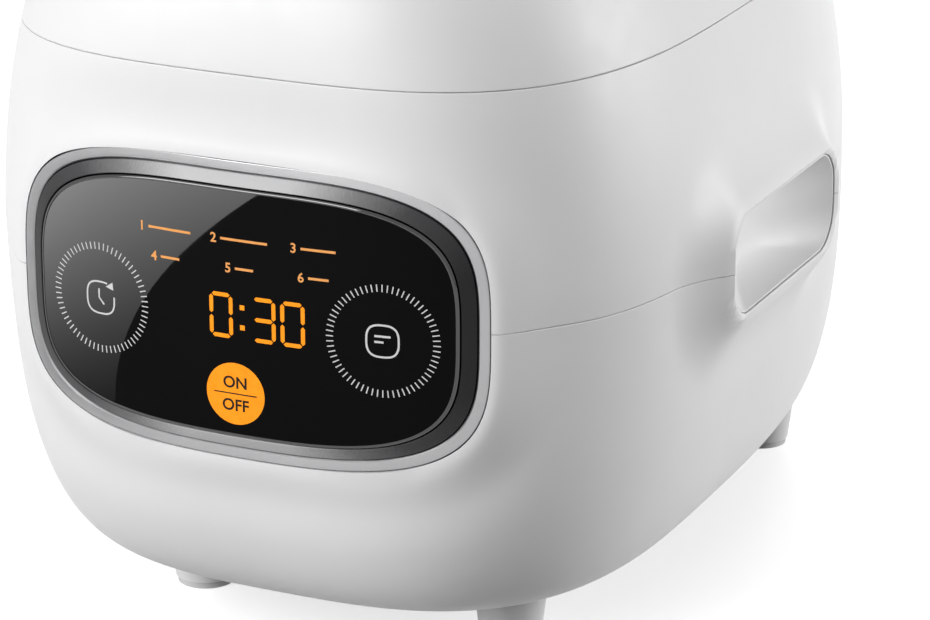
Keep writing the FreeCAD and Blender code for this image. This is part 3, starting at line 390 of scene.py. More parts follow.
def brushed(name, dark, light, rough, stretch):
    """Metal with fine lines drawn along one direction."""
    material = new_material(name)
    lines = grain(material, LINE_SCALE, LINE_DETAIL, stretch)
    cloud = grain(material, CLOUD_SCALE)
    return finish_shader(material, {
        "Base Color": ramp(material, lines, ((0.25, dark), (0.75, light))),
        "Metallic": 1.0,
        "Roughness": span(material, cloud, *rough),
        "Normal": bump(material, lines, LINE_STRENGTH, LINE_DEPTH)})


def spun_metal(name):
    """Satin metal ring with a painted sheen: its base colour is painted light at its top and bottom and fades
    to dark towards its two sides.
    """
    material = new_material(name)
    place = add_node(material, "ShaderNodeTexCoord")
    parts = add_node(material, "ShaderNodeSeparateXYZ", {0: place.outputs["Object"]})
    rise = math_node(material, "SUBTRACT", parts.outputs["Z"], PANEL_Z * MM)
    angle = math_node(material, "ARCTAN2", rise, parts.outputs["X"])
    # Painted sheen: one at the ring's top and bottom and nought at its sides, made into lighter and darker
    # base colour below
    sheen = math_node(material, "ABSOLUTE", math_node(material, "SINE", angle))
    lines = grain(material, SPUN_SCALE, LINE_DETAIL, (6.0, 1.0, 1.0))
    level = math_node(material, "MULTIPLY_ADD", lines, SPUN_SHARE, sheen)
    return finish_shader(material, {
        "Base Color": ramp(material, level, (
            (0.3, grey(0.012, 0.001)), (0.62, grey(0.05, 0.002)),
            (0.78, grey(0.17, 0.003)), (0.98, grey(0.52, 0.005)))),
        "Specular IOR Level": 0.2,
        "Roughness": span(material, lines, 0.34, 0.44),
        "Normal": bump(material, lines, LINE_STRENGTH, LINE_DEPTH)})


def speckled_coating(name):
    """Dark non-stick coating with small pale flecks."""
    material = new_material(name)
    place = add_node(material, "ShaderNodeTexCoord")
    cells = add_node(material, "ShaderNodeTexVoronoi",
                     {"Vector": place.outputs["Object"], "Scale": FLECK_SCALE})
    uneven = grain(material, COATING_SCALE)
    return finish_shader(material, {
        "Base Color": ramp(material, cells.outputs["Distance"], (
            (0.0, grey(0.34, 0.01)), (0.16, grey(0.05, 0.003)), (1.0, grey(0.035, 0.003)))),
        "Roughness": span(material, uneven, 0.32, 0.45),
        "Normal": bump(material, uneven, 0.2, COATING_DEPTH)})


def printed_board(name):
    """Green solder mask with straight tracks under it."""
    material = new_material(name)
    place = add_node(material, "ShaderNodeTexCoord")
    tracks = add_node(material, "ShaderNodeTexBrick", {
        "Vector": place.outputs["Object"], "Scale": TRACK_SCALE, "Mortar Size": TRACK_GAP,
        "Color1": (0.02, 0.13, 0.05, 1.0), "Color2": (0.025, 0.16, 0.065, 1.0),
        "Mortar": (0.07, 0.3, 0.12, 1.0)})
    uneven = grain(material, BOARD_SCALE)
    return finish_shader(material, {
        "Base Color": tracks.outputs["Color"],
        "Roughness": span(material, uneven, 0.3, 0.45),
        "Normal": bump(material, tracks.outputs["Fac"], 0.3, TEXTURE_DEPTH)})


def polished_glass(name, shine):
    """Black glass with faint wiping marks in its gloss."""
    material = new_material(name)
    smears = grain(material, SMEAR_SCALE, 5.0, (1.0, 1.0, 3.0))
    return finish_shader(material, {
        "Base Color": blotches(material, GLASS_SCALE, grey(0.002, 0.0003), grey(0.004, 0.0005)),
        "Roughness": span(material, smears, 0.008, 0.025),
        "Specular IOR Level": shine})


def lit_print(name, dark, light, glow):
    """Printed and softly lit marks on the glass."""
    material = new_material(name)
    colour = blotches(material, INK_SCALE, dark, light)
    return finish_shader(material, {
        "Base Color": colour,
        "Emission Color": colour,
        "Emission Strength": glow,
        "Specular IOR Level": 0.1,
        "Roughness": 0.4})


def plastics():
    """Moulded materials: two colours, the roughness range, features per metre and bump strength."""
    return (
        moulded("white_shell", grey(0.80, 0.005), grey(0.83, 0.005), (0.42, 0.5), 1500.0, 0.05,
                {"Coat Weight": 0.1, "Coat Roughness": 0.3}),
        moulded("white_plastic", grey(0.75, 0.005), grey(0.79, 0.005), (0.45, 0.55), 1300.0, 0.1),
        moulded("pad_rubber", grey(0.6), grey(0.68), (0.7, 0.85), 1800.0, 0.3),
        moulded("silicone", grey(0.6, -0.02), grey(0.66, -0.02), (0.4, 0.5), 900.0, 0.1,
                {"Subsurface Weight": 0.2, "Subsurface Scale": 0.002}),
        moulded("bezel_grey", grey(0.33, 0.005), grey(0.38, 0.005), (0.3, 0.38), 1600.0, 0.06,
                {"Metallic": 0.85}),
        moulded("dark_plastic", grey(0.03, 0.002), grey(0.045, 0.002), (0.4, 0.5), 1400.0, 0.1))


def metals():
    """Metals and coatings: two colours, the roughness range and the stretch of the lines."""
    return (
        brushed("plain_aluminium", grey(0.42, 0.01), grey(0.54, 0.01), (0.34, 0.44), (1.0, 1.0, 14.0)),
        brushed("bare_steel", grey(0.48, 0.02), grey(0.6, 0.02), (0.25, 0.35), (8.0, 1.0, 1.0)),
        spun_metal("trim_metal"),
        speckled_coating("pot_coating"))


def panel_materials():
    """Glass by its shine, and prints by two colours and their glow."""
    return (
        polished_glass("panel_black", 0.03),
        polished_glass("glass_edge", 0.9),
        printed_board("circuit_board"),
        lit_print("print_orange", (0.86, 0.27, 0.012), (0.92, 0.31, 0.016), 0.35),
        lit_print("print_tan", (0.7, 0.3, 0.09), (0.76, 0.34, 0.11), 0.3),
        lit_print("print_white", grey(0.5), grey(0.56), 0.3),
        lit_print("print_dark", (0.012, 0.01, 0.008), (0.02, 0.016, 0.012), 0.0))


def make_materials():
    return {material.name: material for material in plastics() + metals() + panel_materials()}


def dress_nodes(materials):
    """Gives every node of the frame the material of its slot."""
    slots = {}
    for part in frame["record"]["subparts"]:
        slots[part["node"]] = part["material_slot"]
    for name, thing in frame["nodes"].items():
        thing.data.materials.clear()
        thing.data.materials.append(materials[slots[name]])


# Piece helpers

def placed(name, data):
    """Object of the scene that shows a mesh, lamp, camera or lettering."""
    thing = bpy.data.objects.new(name, data)
    bpy.context.scene.collection.objects.link(thing)
    return thing


def mesh_from(flat, name, material):
    mesh = bpy.data.meshes.new(name)
    flat.to_mesh(mesh)
    flat.free()
    mesh.materials.append(material)
    return mesh


def join_loops(flat, loops):
    """Faces between each closed loop of points and the next."""
    for first, second in zip(loops, loops[1:]):
        for index in range(len(first)):
            after = (index + 1) % len(first)
            flat.faces.new((first[index], first[after], second[after], second[index]))


def smooth_piece(flat, name, body, material):
    """Smooth-shaded piece that rides a body, with its faces turned outwards."""
    bmesh.ops.recalc_face_normals(flat, faces=flat.faces[:])
    mesh = mesh_from(flat, name, material)
    mesh.polygons.foreach_set("use_smooth", [True] * len(mesh.polygons))
    mesh.set_sharp_from_angle(angle=math.radians(SHARP_ANGLE))
    thing = placed(name, mesh)
    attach(thing, body)
    return thing


def finished(flat, name, body, node, material):
    """Piece that stands for a node of the frame."""
    thing = smooth_piece(flat, name, body, material)
    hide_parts(node)
    return thing


# Shells drawn from the outer form

def quarter(fraction, power):
    """Share of the full inset reached at a fraction of the way from the belly to an end plane."""
    return 1 - max(0.0, 1 - fraction ** power) ** (1 / power)


def level_form(z, inward):
    """Half width, front reach, rear reach and the two plan powers at a height."""
    low = z <= BELLY_Z
    share = (BELLY_Z - z) / (BELLY_Z - BASE_Z) if low else (z - BELLY_Z) / (TOP_Z - BELLY_Z)
    share = min(max(share, 0.0), 1.0)
    insets = LOW_INSETS if low else HIGH_INSETS
    side, front, rear = (depth * quarter(share, power) + inward for depth, power in insets)
    end = 0 if low else 2
    front_power = FRONT_POWERS[1] + (FRONT_POWERS[end] - FRONT_POWERS[1]) * share
    rear_power = REAR_POWERS[1] + (REAR_POWERS[end] - REAR_POWERS[1]) * share
    return HALF_WIDTH - side, FRONT_DEPTH - front, REAR_DEPTH - rear, front_power, rear_power


def outline(z, inward):
    """Ring of points round the form at one height."""
    half, front, rear, front_power, rear_power = level_form(z, inward)
    ring = []
    for index in range(AROUND):
        angle = math.pi / 2 + 2 * math.pi * index / AROUND
        across, along = math.cos(angle), math.sin(angle)
        reach, power = (front, front_power) if along < 0 else (rear, rear_power)
        scale = (abs(across) ** power + abs(along) ** power) ** (-1 / power)
        ring.append(Vector((half * scale * across, MIDDLE_Y + reach * scale * along, z)))
    return ring


def depth_at(x, z, inward, rear):
    """Depth of the front or rear face of the form."""
    half, front, back, front_power, rear_power = level_form(z, inward)
    reach, power = (back, rear_power) if rear else (-front, front_power)
    return MIDDLE_Y + reach * max(0.0, 1 - (abs(x) / half) ** power) ** (1 / power)


def width_at(y, z, inward):
    """Half width of the form at a depth and height."""
    half, front, back, front_power, rear_power = level_form(z, inward)
    reach, power = (back, rear_power) if y > MIDDLE_Y else (front, front_power)
    return half * max(0.0, 1 - (abs(y - MIDDLE_Y) / reach) ** power) ** (1 / power)


def heights(low, high, count):
    """Heights between two levels, closer together where the form turns inwards."""
    def turn(z):
        share = (z - BELLY_Z) / ((TOP_Z - BELLY_Z) if z > BELLY_Z else (BELLY_Z - BASE_Z))
        return math.asin(min(max(share, -1.0), 1.0))
    start, end = turn(low), turn(high)
    levels = []
    for step in range(count + 1):
        rise = math.sin(start + (end - start) * step / count)
        levels.append(BELLY_Z + rise * ((TOP_Z - BELLY_Z) if rise > 0 else (BELLY_Z - BASE_Z)))
    return levels


def rounded_edge(z, upward):
    """Rows over a rounded edge, from the outside face to the edge's end plane."""
    rows = []
    for step in range(EDGE_STEPS + 1):
        angle = math.pi / 2 * step / EDGE_STEPS
        drop = EDGE_ROUND * (1 - math.sin(angle))
        rows.append((z - drop if upward else z + drop, EDGE_ROUND * (1 - math.cos(angle))))
    return rows


def oval_gap(across, up, half):
    """Distance outside a panel outline, negative inside it."""
    side, rise = abs(across) / half[0], abs(up) / half[1]
    size = (side ** PANEL_POWER + rise ** PANEL_POWER) ** (1 / PANEL_POWER)
    if size < FAR_INSIDE:
        return -min(half)
    slope_x = (side / size) ** (PANEL_POWER - 1) / half[0]
    slope_z = (rise / size) ** (PANEL_POWER - 1) / half[1]
    return (size - 1) / math.hypot(slope_x, slope_z)


def box_gap(across, up, half_a, half_b, corner):
    """Distance outside a rounded rectangle, negative inside it."""
    over_a = abs(across) - half_a + corner
    over_b = abs(up) - half_b + corner
    return math.hypot(max(over_a, 0), max(over_b, 0)) + min(max(over_a, over_b), 0) - corner


def grip_gap(y, z):
    return box_gap(y - HANDLE_Y, z - HANDLE_Z, GRIP_HALF_Y, GRIP_HALF_Z, GRIP_CORNER)


class Opening:
    """Hole in a shell: where it applies, its outline distance and the way its rim goes in."""

    def __init__(self, applies, plane, gap, push):
        self.applies = applies
        self.plane = plane
        self.gap = gap
        self.push = Vector(push)

    def outside(self, spot):
        return self.gap(spot[self.plane[0]], spot[self.plane[1]])

    def snap(self, spot, inward):
        """Moves a point onto the outline and back onto the form."""
        first, second = self.plane
        for _ in range(SNAP_ROUNDS):
            here = self.outside(spot)
            slope_a = (self.gap(spot[first] + SNAP_STEP, spot[second]) - here) / SNAP_STEP
            slope_b = (self.gap(spot[first], spot[second] + SNAP_STEP) - here) / SNAP_STEP
            size = slope_a ** 2 + slope_b ** 2
            spot[first] -= here * slope_a / size
            spot[second] -= here * slope_b / size
        if self.plane == (0, 2):
            spot.y = depth_at(spot.x, spot.z, inward, spot.y > MIDDLE_Y)
        elif self.plane == (1, 2):
            spot.x = math.copysign(width_at(spot.y, spot.z, inward), spot.x)
        return spot


def window_opening():
    return Opening(lambda spot: spot.y < WINDOW_FROM_Y and abs(spot.x) < WINDOW_SIDE_X, (0, 2),
                   lambda x, z: oval_gap(x, z - PANEL_Z, WINDOW_HALF), (0, WINDOW_RIM, 0))


def grip_opening(side):
    return Opening(lambda spot: spot.x * side > HANDLE_FROM_X, (1, 2), grip_gap, (-side * GRIP_RIM, 0, 0))


def rear_opening(centre_z, half_x, half_z):
    return Opening(lambda spot: spot.y > REAR_FROM_Y, (0, 2),
                   lambda x, z: box_gap(x, z - centre_z, half_x, half_z, REAR_CORNER), (0, -REAR_RIM, 0))


def top_opening(centre_y, half_x, half_y, corner):
    return Opening(lambda spot: spot.z > TOP_Z - TOP_SLACK, (0, 1),
                   lambda x, y: box_gap(x, y - centre_y, half_x, half_y, corner), (0, 0, -TOP_RIM))


def fading(share):
    """Concave run-out from one to nought that meets the face without a crease."""
    return max(0.0, 1 - share) ** FADE_POWER


def raised(spot):
    """Point of the form lifted to the panel collar or the handle lip near it."""
    if abs(spot.x) > HANDLE_FROM_X:
        gap = max(grip_gap(spot.y, spot.z), 0.0)
        share = (gap - LIP_WIDTH) / GRIP_FLARE
        lift = LIP_X - abs(spot.x)
        fall = LIP_FALL * max(1 - gap / LIP_ROUND, 0.0) ** 2
        if lift > 0:
            spot.x = math.copysign(abs(spot.x) + lift * fading(max(share, 0.0)) - fall, spot.x)
    if spot.y < PANEL_FROM_Y:
        gap = max(oval_gap(spot.x, spot.z - PANEL_Z, COLLAR_HALF), 0.0)
        share = min(gap / RECESS_REACH, 1.0)
        spot.y += PANEL_RECESS * RECESS_PEAK * share * (1 - share) ** 2
        collar_y = GLASS_AXIS_Y - math.sqrt((GLASS_RADIUS - COLLAR_DROP) ** 2 - spot.x ** 2)
        if collar_y < spot.y:
            spot.y += (collar_y - spot.y) * fading(gap / COLLAR_FLARE)
    return spot


def openings_hit(rings, openings):
    """For each ring and point, the opening that it lies in, or None."""
    hit = [[None] * AROUND for _ in rings]
    for row, (ring, _) in enumerate(rings):
        for index, spot in enumerate(ring):
            for opening in openings:
                if opening.applies(spot) and opening.outside(spot) < 0:
                    hit[row][index] = opening
    return hit


def kept_faces(hit, closed):
    """Faces that aren't wholly inside an opening, and the corners to move onto an outline."""
    faces = []
    edge_spots = {}
    count = len(hit)
    for row in range(count if closed else count - 1):
        above = (row + 1) % count
        for index in range(AROUND):
            after = (index + 1) % AROUND
            corners = [(row, index), (row, after), (above, after), (above, index)]
            inside = [corner for corner in corners if hit[corner[0]][corner[1]]]
            if len(inside) == len(corners):
                continue
            for corner in inside:
                edge_spots[corner] = hit[corner[0]][corner[1]]
            faces.append(corners)
    return faces, edge_spots


def add_rims(flat, rim):
    """Carries the outer edge of each opening inwards."""
    edges = [edge for edge in flat.edges if edge.is_boundary and all(vert in rim for vert in edge.verts)]
    places = {tuple(vert.co): rim[vert].push for edge in edges for vert in edge.verts}
    grown = bmesh.ops.extrude_edge_only(flat, edges=edges)
    for thing in grown["geom"]:
        if isinstance(thing, bmesh.types.BMVert):
            thing.co += places[tuple(thing.co)] * MM


def shell(name, rings, openings, closed, body, node, material):
    """Skin through rings of (points, inset), trimmed by its openings, with a rim round each."""
    flat = bmesh.new()
    faces, edge_spots = kept_faces(openings_hit(rings, openings), closed)
    made = {}
    rim = {}
    for row, index in (corner for corners in faces for corner in corners):
        if (row, index) in made:
            continue
        ring, inward = rings[row]
        spot = ring[index].copy()
        opening = edge_spots.get((row, index))
        if opening:
            spot = opening.snap(spot, inward)
        if inward < WALL:
            spot = raised(spot)
        vert = flat.verts.new(spot * MM)
        made[row, index] = vert
        if opening and inward < WALL:
            rim[vert] = opening
    for corners in faces:
        flat.faces.new([made[corner] for corner in corners])
    if not closed:
        flat.faces.new([made[len(rings) - 1, index] for index in range(AROUND)])
    add_rims(flat, rim)
    finished(flat, name, body, node, material)


def rings_through(rows):
    return [(outline(z, inward), inward) for z, inward in rows]


def outer_rows(low, high, count):
    return [(z, 0.0) for z in heights(low, high, count)]


def inner_rows(low, high, count):
    return [(z, WALL) for z in reversed(heights(low, high, count))]


def front_and_side_openings():
    return [window_opening(), grip_opening(-1), grip_opening(1)]


def make_lower_shell(material):
    rows = [(BASE_Z, COVER_MARGIN), (BASE_Z, BASE_MARGIN)]
    rows += outer_rows(BASE_Z + BASE_STEP, SEAM_LOW - EDGE_ROUND - EDGE_CLEAR, LOWER_ROWS)
    rows += rounded_edge(SEAM_LOW, True)
    rows += inner_rows(BASE_Z + WALL, SEAM_LOW, LOWER_INNER_ROWS)
    rows += [(BASE_Z + WALL, COVER_MARGIN)]
    openings = front_and_side_openings() + [rear_opening(INLET_Z, INLET_HALF_X, INLET_HALF_Z)]
    shell("lower_skin", rings_through(rows), openings, True, "housing", "lower_shell", material)


def make_upper_shell(material):
    rows = list(reversed(rounded_edge(SEAM_HIGH, False)))
    edge = EDGE_ROUND + EDGE_CLEAR
    rows += outer_rows(SEAM_HIGH + edge, LID_SEAM_LOW - edge, UPPER_ROWS)
    rows += rounded_edge(LID_SEAM_LOW, True)
    rows += inner_rows(SEAM_HIGH, LID_SEAM_LOW, UPPER_INNER_ROWS)
    openings = front_and_side_openings() + [rear_opening(NOTCH_Z, NOTCH_HALF_X, NOTCH_HALF_Z)]
    shell("upper_skin", rings_through(rows), openings, True, "housing", "upper_shell", material)


def make_lid_cover(material):
    rows = inner_rows(LID_SEAM_HIGH, LID_SKIRT_Z, LID_INNER_ROWS)
    rows += list(reversed(rounded_edge(LID_SEAM_HIGH, False)))
    rows += outer_rows(LID_SEAM_HIGH + EDGE_ROUND + EDGE_CLEAR, TOP_Z, LID_ROWS)
    rings = rings_through(rows)
    top = rings[-1][0]
    centre = Vector((0, MIDDLE_Y + (REAR_DEPTH - FRONT_DEPTH) / 2, TOP_Z))
    for step in range(1, TOP_RINGS):
        share = 1 - step / TOP_RINGS
        rings.append(([centre + (spot - centre) * share for spot in top], 0.0))
    openings = [rear_opening(NOTCH_Z, NOTCH_HALF_X, NOTCH_HALF_Z),
                top_opening(VENT_Y, VENT_RADIUS, VENT_RADIUS, VENT_CORNER),
                top_opening(BUTTON_Y, BUTTON_HALF_X, BUTTON_HALF_Y, BUTTON_CORNER)]
    shell("lid_skin", rings, openings, False, "lid", "lid_cover", material)


# Finger scoops in the handles

def grip_loop(half_y, half_z, corner, x):
    """Rounded rectangle about the handle's middle at a distance from the mid-plane."""
    arcs = []
    for turn in range(4):
        middle_y = (half_y - corner) * (1 if turn in (0, 3) else -1)
        middle_z = (half_z - corner) * (1 if turn in (0, 1) else -1)
        arc = []
        for step in range(CORNER_STEPS + 1):
            angle = math.pi / 2 * (turn + step / CORNER_STEPS)
            arc.append(Vector((x, HANDLE_Y + middle_y + corner * math.cos(angle),
                               HANDLE_Z + middle_z + corner * math.sin(angle))))
        arcs.append(arc)
    loop = []
    for arc, following in zip(arcs, arcs[1:] + arcs[:1]):
        loop += arc
        loop += [arc[-1].lerp(following[0], step / SIDE_STEPS) for step in range(1, SIDE_STEPS)]
    return loop


def make_scoop(side, word, material):
    """Insert with a thin rim and a hollow that is deepest in its middle."""
    rim = (GRIP_HALF_Y - SCOOP_GAP, GRIP_HALF_Z - SCOOP_GAP, GRIP_CORNER - SCOOP_GAP)
    rings = [grip_loop(*rim, side * SCOOP_FOOT), grip_loop(*rim, side * SCOOP_MOUTH)]
    for ring in range(SCOOP_RINGS):
        share = 1 - ring / SCOOP_RINGS
        narrow = math.sqrt(share)
        x = SCOOP_MOUTH - SCOOP_DEPTH * (1 - share ** 2)
        corner = (GRIP_CORNER - SCOOP_EDGE) * min(narrow, SCOOP_CORNER_RATE * share)
        rings.append(grip_loop((GRIP_HALF_Y - SCOOP_EDGE) * share, (GRIP_HALF_Z - SCOOP_EDGE) * narrow,
                               corner, side * x))
    flat = bmesh.new()
    loops = [[flat.verts.new(spot * MM) for spot in ring] for ring in rings]
    join_loops(flat, loops)
    flat.faces.new(loops[-1])
    finished(flat, f"{word}_scoop", "housing", f"handle_pocket_{word}", material)


# Enclosed springs

def make_spring(name, node, body, centre, ends, radius, wire, material):
    """Upright coil of round wire between two heights."""
    low, high = ends
    steps = SPRING_TURNS * TURN_STEPS
    flat = bmesh.new()
    loops = []
    for step in range(steps + 1):
        turn = 2 * math.pi * step / TURN_STEPS
        outward = Vector((math.cos(turn), math.sin(turn), 0))
        rise = low + wire / 2 + (high - low - wire) * step / steps
        middle = Vector((centre[0], centre[1], rise)) + outward * radius
        loop = []
        for side in range(WIRE_SIDES):
            angle = 2 * math.pi * side / WIRE_SIDES
            edge = outward * math.cos(angle) + Vector((0, 0, math.sin(angle)))
            loop.append(flat.verts.new((middle + edge * (wire / 2)) * MM))
        loops.append(loop)
    join_loops(flat, loops)
    flat.faces.new(loops[0])
    flat.faces.new(loops[-1])
    spring = finished(flat, name, body, node, material)
    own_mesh(spring)


def make_springs(material):
    make_spring("sensor_coil", "sensor_spring", "housing", (0, SENSOR_Y), SENSOR_ENDS,
                SENSOR_COIL, SENSOR_WIRE, material)
    make_spring("latch_coil", "latch_spring", "lid", (0, LATCH_Y), LATCH_ENDS,
                LATCH_COIL, LATCH_WIRE, material)


# Panel pieces on one upright cylinder

def panel_loop(half, drop):
    """Panel outline of a half size, set in from the glass cylinder by a drop, in metres."""
    loop = []
    for index in range(PANEL_POINTS):
        angle = 2 * math.pi * index / PANEL_POINTS
        across, up = math.cos(angle), math.sin(angle)
        scale = (abs(across) ** PANEL_POWER + abs(up) ** PANEL_POWER) ** (-1 / PANEL_POWER)
        x = half[0] * scale * across
        y = GLASS_AXIS_Y - math.sqrt((GLASS_RADIUS - drop) ** 2 - x * x)
        loop.append(Vector((x, y, PANEL_Z + half[1] * scale * up)) * MM)
    return loop


def inset(half, distance):
    return half[0] - distance, half[1] - distance


def soft_corner(half, drop, radius):
    """Profile over a rounded outer edge, from the side wall to the face."""
    steps = []
    for step in range(ROUND_STEPS + 1):
        angle = math.pi / 2 * step / ROUND_STEPS
        steps.append((inset(half, radius * (1 - math.cos(angle))), drop + radius * (1 - math.sin(angle))))
    return steps


def panel_mesh(profile, closed):
    """Closed ring through panel outlines, or a plate whose first and last outlines are filled."""
    flat = bmesh.new()
    loops = [[flat.verts.new(spot) for spot in panel_loop(half, drop)] for half, drop in profile]
    if closed:
        loops.append(loops[0])
    else:
        flat.faces.new(loops[0])
        flat.faces.new(loops[-1])
    join_loops(flat, loops)
    return flat


def panel_piece(name, profile, closed, node, material):
    return finished(panel_mesh(profile, closed), name, "housing", node, material)


def make_bezel(material):
    profile = [(BEZEL_HALF, PANEL_BACK)]
    profile += soft_corner(BEZEL_HALF, BEZEL_DROP, BEZEL_ROUND)
    profile += [(inset(BEZEL_INNER, -BEZEL_CHAMFER), BEZEL_DROP), (BEZEL_INNER, BEZEL_DROP + BEZEL_CHAMFER)]
    profile += [(BEZEL_INNER, PANEL_BACK)]
    panel_piece("bezel_frame", profile, True, "panel_bezel", material)


def make_trim(material):
    profile = [(TRIM_HALF, PANEL_BACK), (TRIM_HALF, BEZEL_DROP)]
    profile += [(inset(TRIM_INNER, -outward), TRIM_DROP + drop) for outward, drop in TRIM_EDGE]
    profile += [(TRIM_INNER, PANEL_BACK)]
    panel_piece("trim_frame", profile, True, "panel_trim", material)


def make_glass(edge_material, face_material):
    """Rounded rim and smooth face of the panel's curved glass; gives back the face."""
    face = inset(GLASS_HALF, GLASS_RIM)
    rim = [(GLASS_HALF, GLASS_THICK)]
    rim += soft_corner(GLASS_HALF, GLASS_DROP, GLASS_ROUND)
    rim += [(face, GLASS_DROP), (face, GLASS_THICK)]
    smooth_piece(panel_mesh(rim, True), "glass_rim", "housing", edge_material)
    plate = [(GLASS_BACK_HALF, GLASS_THICK), (face, GLASS_THICK)]
    for ring in range(GLASS_RINGS):
        share = 1 - ring / GLASS_RINGS
        plate.append(((face[0] * share, face[1] * share), GLASS_DROP))
    return panel_piece("glass_plate", plate, False, "panel_glass", face_material)


# Prints on the glass

def on_glass(x, dz):
    """Point on the curved glass in metres, from millimetres across and above the panel's middle."""
    y = GLASS_AXIS_Y - math.sqrt((GLASS_RADIUS - PRINT_DROP) ** 2 - x * x)
    return Vector((x, y, PANEL_Z + dz)) * MM


def wrap(flat, name, material):
    """Makes a piece of a flat drawing in millimetres by bending it onto the glass."""
    xs = [vert.co.x for vert in flat.verts]
    cut_x = math.floor(min(xs) / STRIP_WIDTH) * STRIP_WIDTH
    while cut_x < max(xs):
        everything = flat.verts[:] + flat.edges[:] + flat.faces[:]
        bmesh.ops.bisect_plane(flat, geom=everything, plane_co=(cut_x, 0, 0), plane_no=(1, 0, 0))
        cut_x += STRIP_WIDTH
    for vert in flat.verts:
        vert.co = on_glass(vert.co.x, vert.co.y)
    for face in flat.faces:
        face.normal_update()
        if face.normal.y > 0:
            face.normal_flip()
    thing = placed(name, mesh_from(flat, name, material))
    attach(thing, "housing")
    return thing


def add_face(flat, corners):
    flat.faces.new([flat.verts.new((x, y, 0)) for x, y in corners])


def add_bar(flat, start, end, width):
    """Straight bar with square ends between two points."""
    along = Vector(end) - Vector(start)
    across = Vector((-along.y, along.x)).normalized() * (width / 2)
    corners = [Vector(start) - across, Vector(end) - across, Vector(end) + across, Vector(start) + across]
    add_face(flat, [(corner.x, corner.y) for corner in corners])


def add_band(flat, spots, width):
    """Line of constant width through a row of points."""
    count = len(spots)
    sides = []
    for index, spot in enumerate(spots):
        before = Vector(spots[max(index - 1, 0)])
        after = Vector(spots[min(index + 1, count - 1)])
        along = (after - before).normalized()
        across = Vector((-along.y, along.x)) * (width / 2)
        left = Vector(spot) + across
        right = Vector(spot) - across
        sides.append((flat.verts.new((left.x, left.y, 0)), flat.verts.new((right.x, right.y, 0))))
    for (left_a, right_a), (left_b, right_b) in zip(sides, sides[1:]):
        flat.faces.new((left_a, left_b, right_b, right_a))


def round_spots(centre, radius, start, end, power=2.0, count=48):
    """Points along a circle or rounded square between two angles in degrees."""
    spots = []
    for step in range(count + 1):
        angle = math.radians(start + (end - start) * step / count)
        cos, sin = math.cos(angle), math.sin(angle)
        reach = radius * (abs(cos) ** power + abs(sin) ** power) ** (-1 / power)
        spots.append((centre[0] + reach * cos, centre[1] + reach * sin))
    return spots


def add_text(flat, words, centre, height):
    """Plain lettering of a given cap height, centred on a point."""
    curve = bpy.data.curves.new("lettering", "FONT")
    curve.body = words
    curve.align_x = "CENTER"
    curve.align_y = "CENTER"
    curve.resolution_u = LETTER_STEPS
    curve.offset = LETTER_WEIGHT
    holder = placed("lettering", curve)
    bpy.context.view_layer.update()
    mesh = bpy.data.meshes.new_from_object(holder.evaluated_get(bpy.context.evaluated_depsgraph_get()))
    bpy.data.objects.remove(holder)
    rises = [vert.co.y for vert in mesh.vertices]
    middle = (max(rises) + min(rises)) / 2
    scale = height / (max(rises) - min(rises))
    for vert in mesh.vertices:
        vert.co = Vector((centre[0] + vert.co.x * scale, centre[1] + (vert.co.y - middle) * scale, 0))
    flat.from_mesh(mesh)
    bpy.data.meshes.remove(mesh)


def draw_tick_ring(name, centre_x, material):
    flat = bmesh.new()
    centre = Vector((centre_x, RING_DZ))
    for tick in range(RING_TICKS):
        angle = 2 * math.pi * tick / RING_TICKS
        way = Vector((math.cos(angle), math.sin(angle)))
        add_bar(flat, centre + way * TICK_INNER, centre + way * TICK_OUTER, TICK_WIDTH)
    wrap(flat, name, material)


def moved(spots, centre):
    return [(centre[0] + x, centre[1] + y) for x, y in spots]


def draw_timer_sign(material):
    """Clock hands inside an open rounded square with an arrow head."""
    flat = bmesh.new()
    centre = (-RING_X, RING_DZ)
    add_band(flat, round_spots(centre, TIMER_RADIUS, *TIMER_ARC, SIGN_POWER), TIMER_LINE)
    add_band(flat, moved(TIMER_HANDS, centre), TIMER_LINE)
    add_face(flat, moved(TIMER_ARROW, centre))
    wrap(flat, "timer_sign", material)


def draw_menu_sign(material):
    """Two lines inside a rounded square."""
    flat = bmesh.new()
    centre = (RING_X, RING_DZ)
    add_band(flat, round_spots(centre, MENU_RADIUS, 0, 360, SIGN_POWER), MENU_LINE)
    for left, right, rise in MENU_BARS:
        add_bar(flat, *moved(((left, rise), (right, rise)), centre), MENU_BAR)
    wrap(flat, "menu_sign", material)


def draw_labels(material):
    """One numbered bar for each of the six programs."""
    flat = bmesh.new()
    number = 0
    for row, dz in enumerate(LABEL_ROWS):
        for column, x in enumerate(LABEL_COLUMNS):
            number += 1
            width = LABEL_WIDTHS[row][column]
            left = x - width / 2
            add_text(flat, str(number), (left + NUMBER_X, dz), NUMBER_HEIGHT)
            add_bar(flat, (left + LABEL_BAR_X, dz), (x + width / 2, dz), LABEL_BAR)
    wrap(flat, "program_numbers", material)


def segment(flat, start, end):
    """Six-sided bar of the clock display."""
    along = (Vector(end) - Vector(start)).normalized()
    across = Vector((-along.y, along.x)) * (DIGIT_BAR / 2)
    start = Vector(start) + along * DIGIT_GAP
    end = Vector(end) - along * DIGIT_GAP
    tip = along * (DIGIT_BAR / 2)
    corners = [start, start + tip - across, end - tip - across, end, end - tip + across, start + tip + across]
    add_face(flat, [(corner.x, corner.y) for corner in corners])


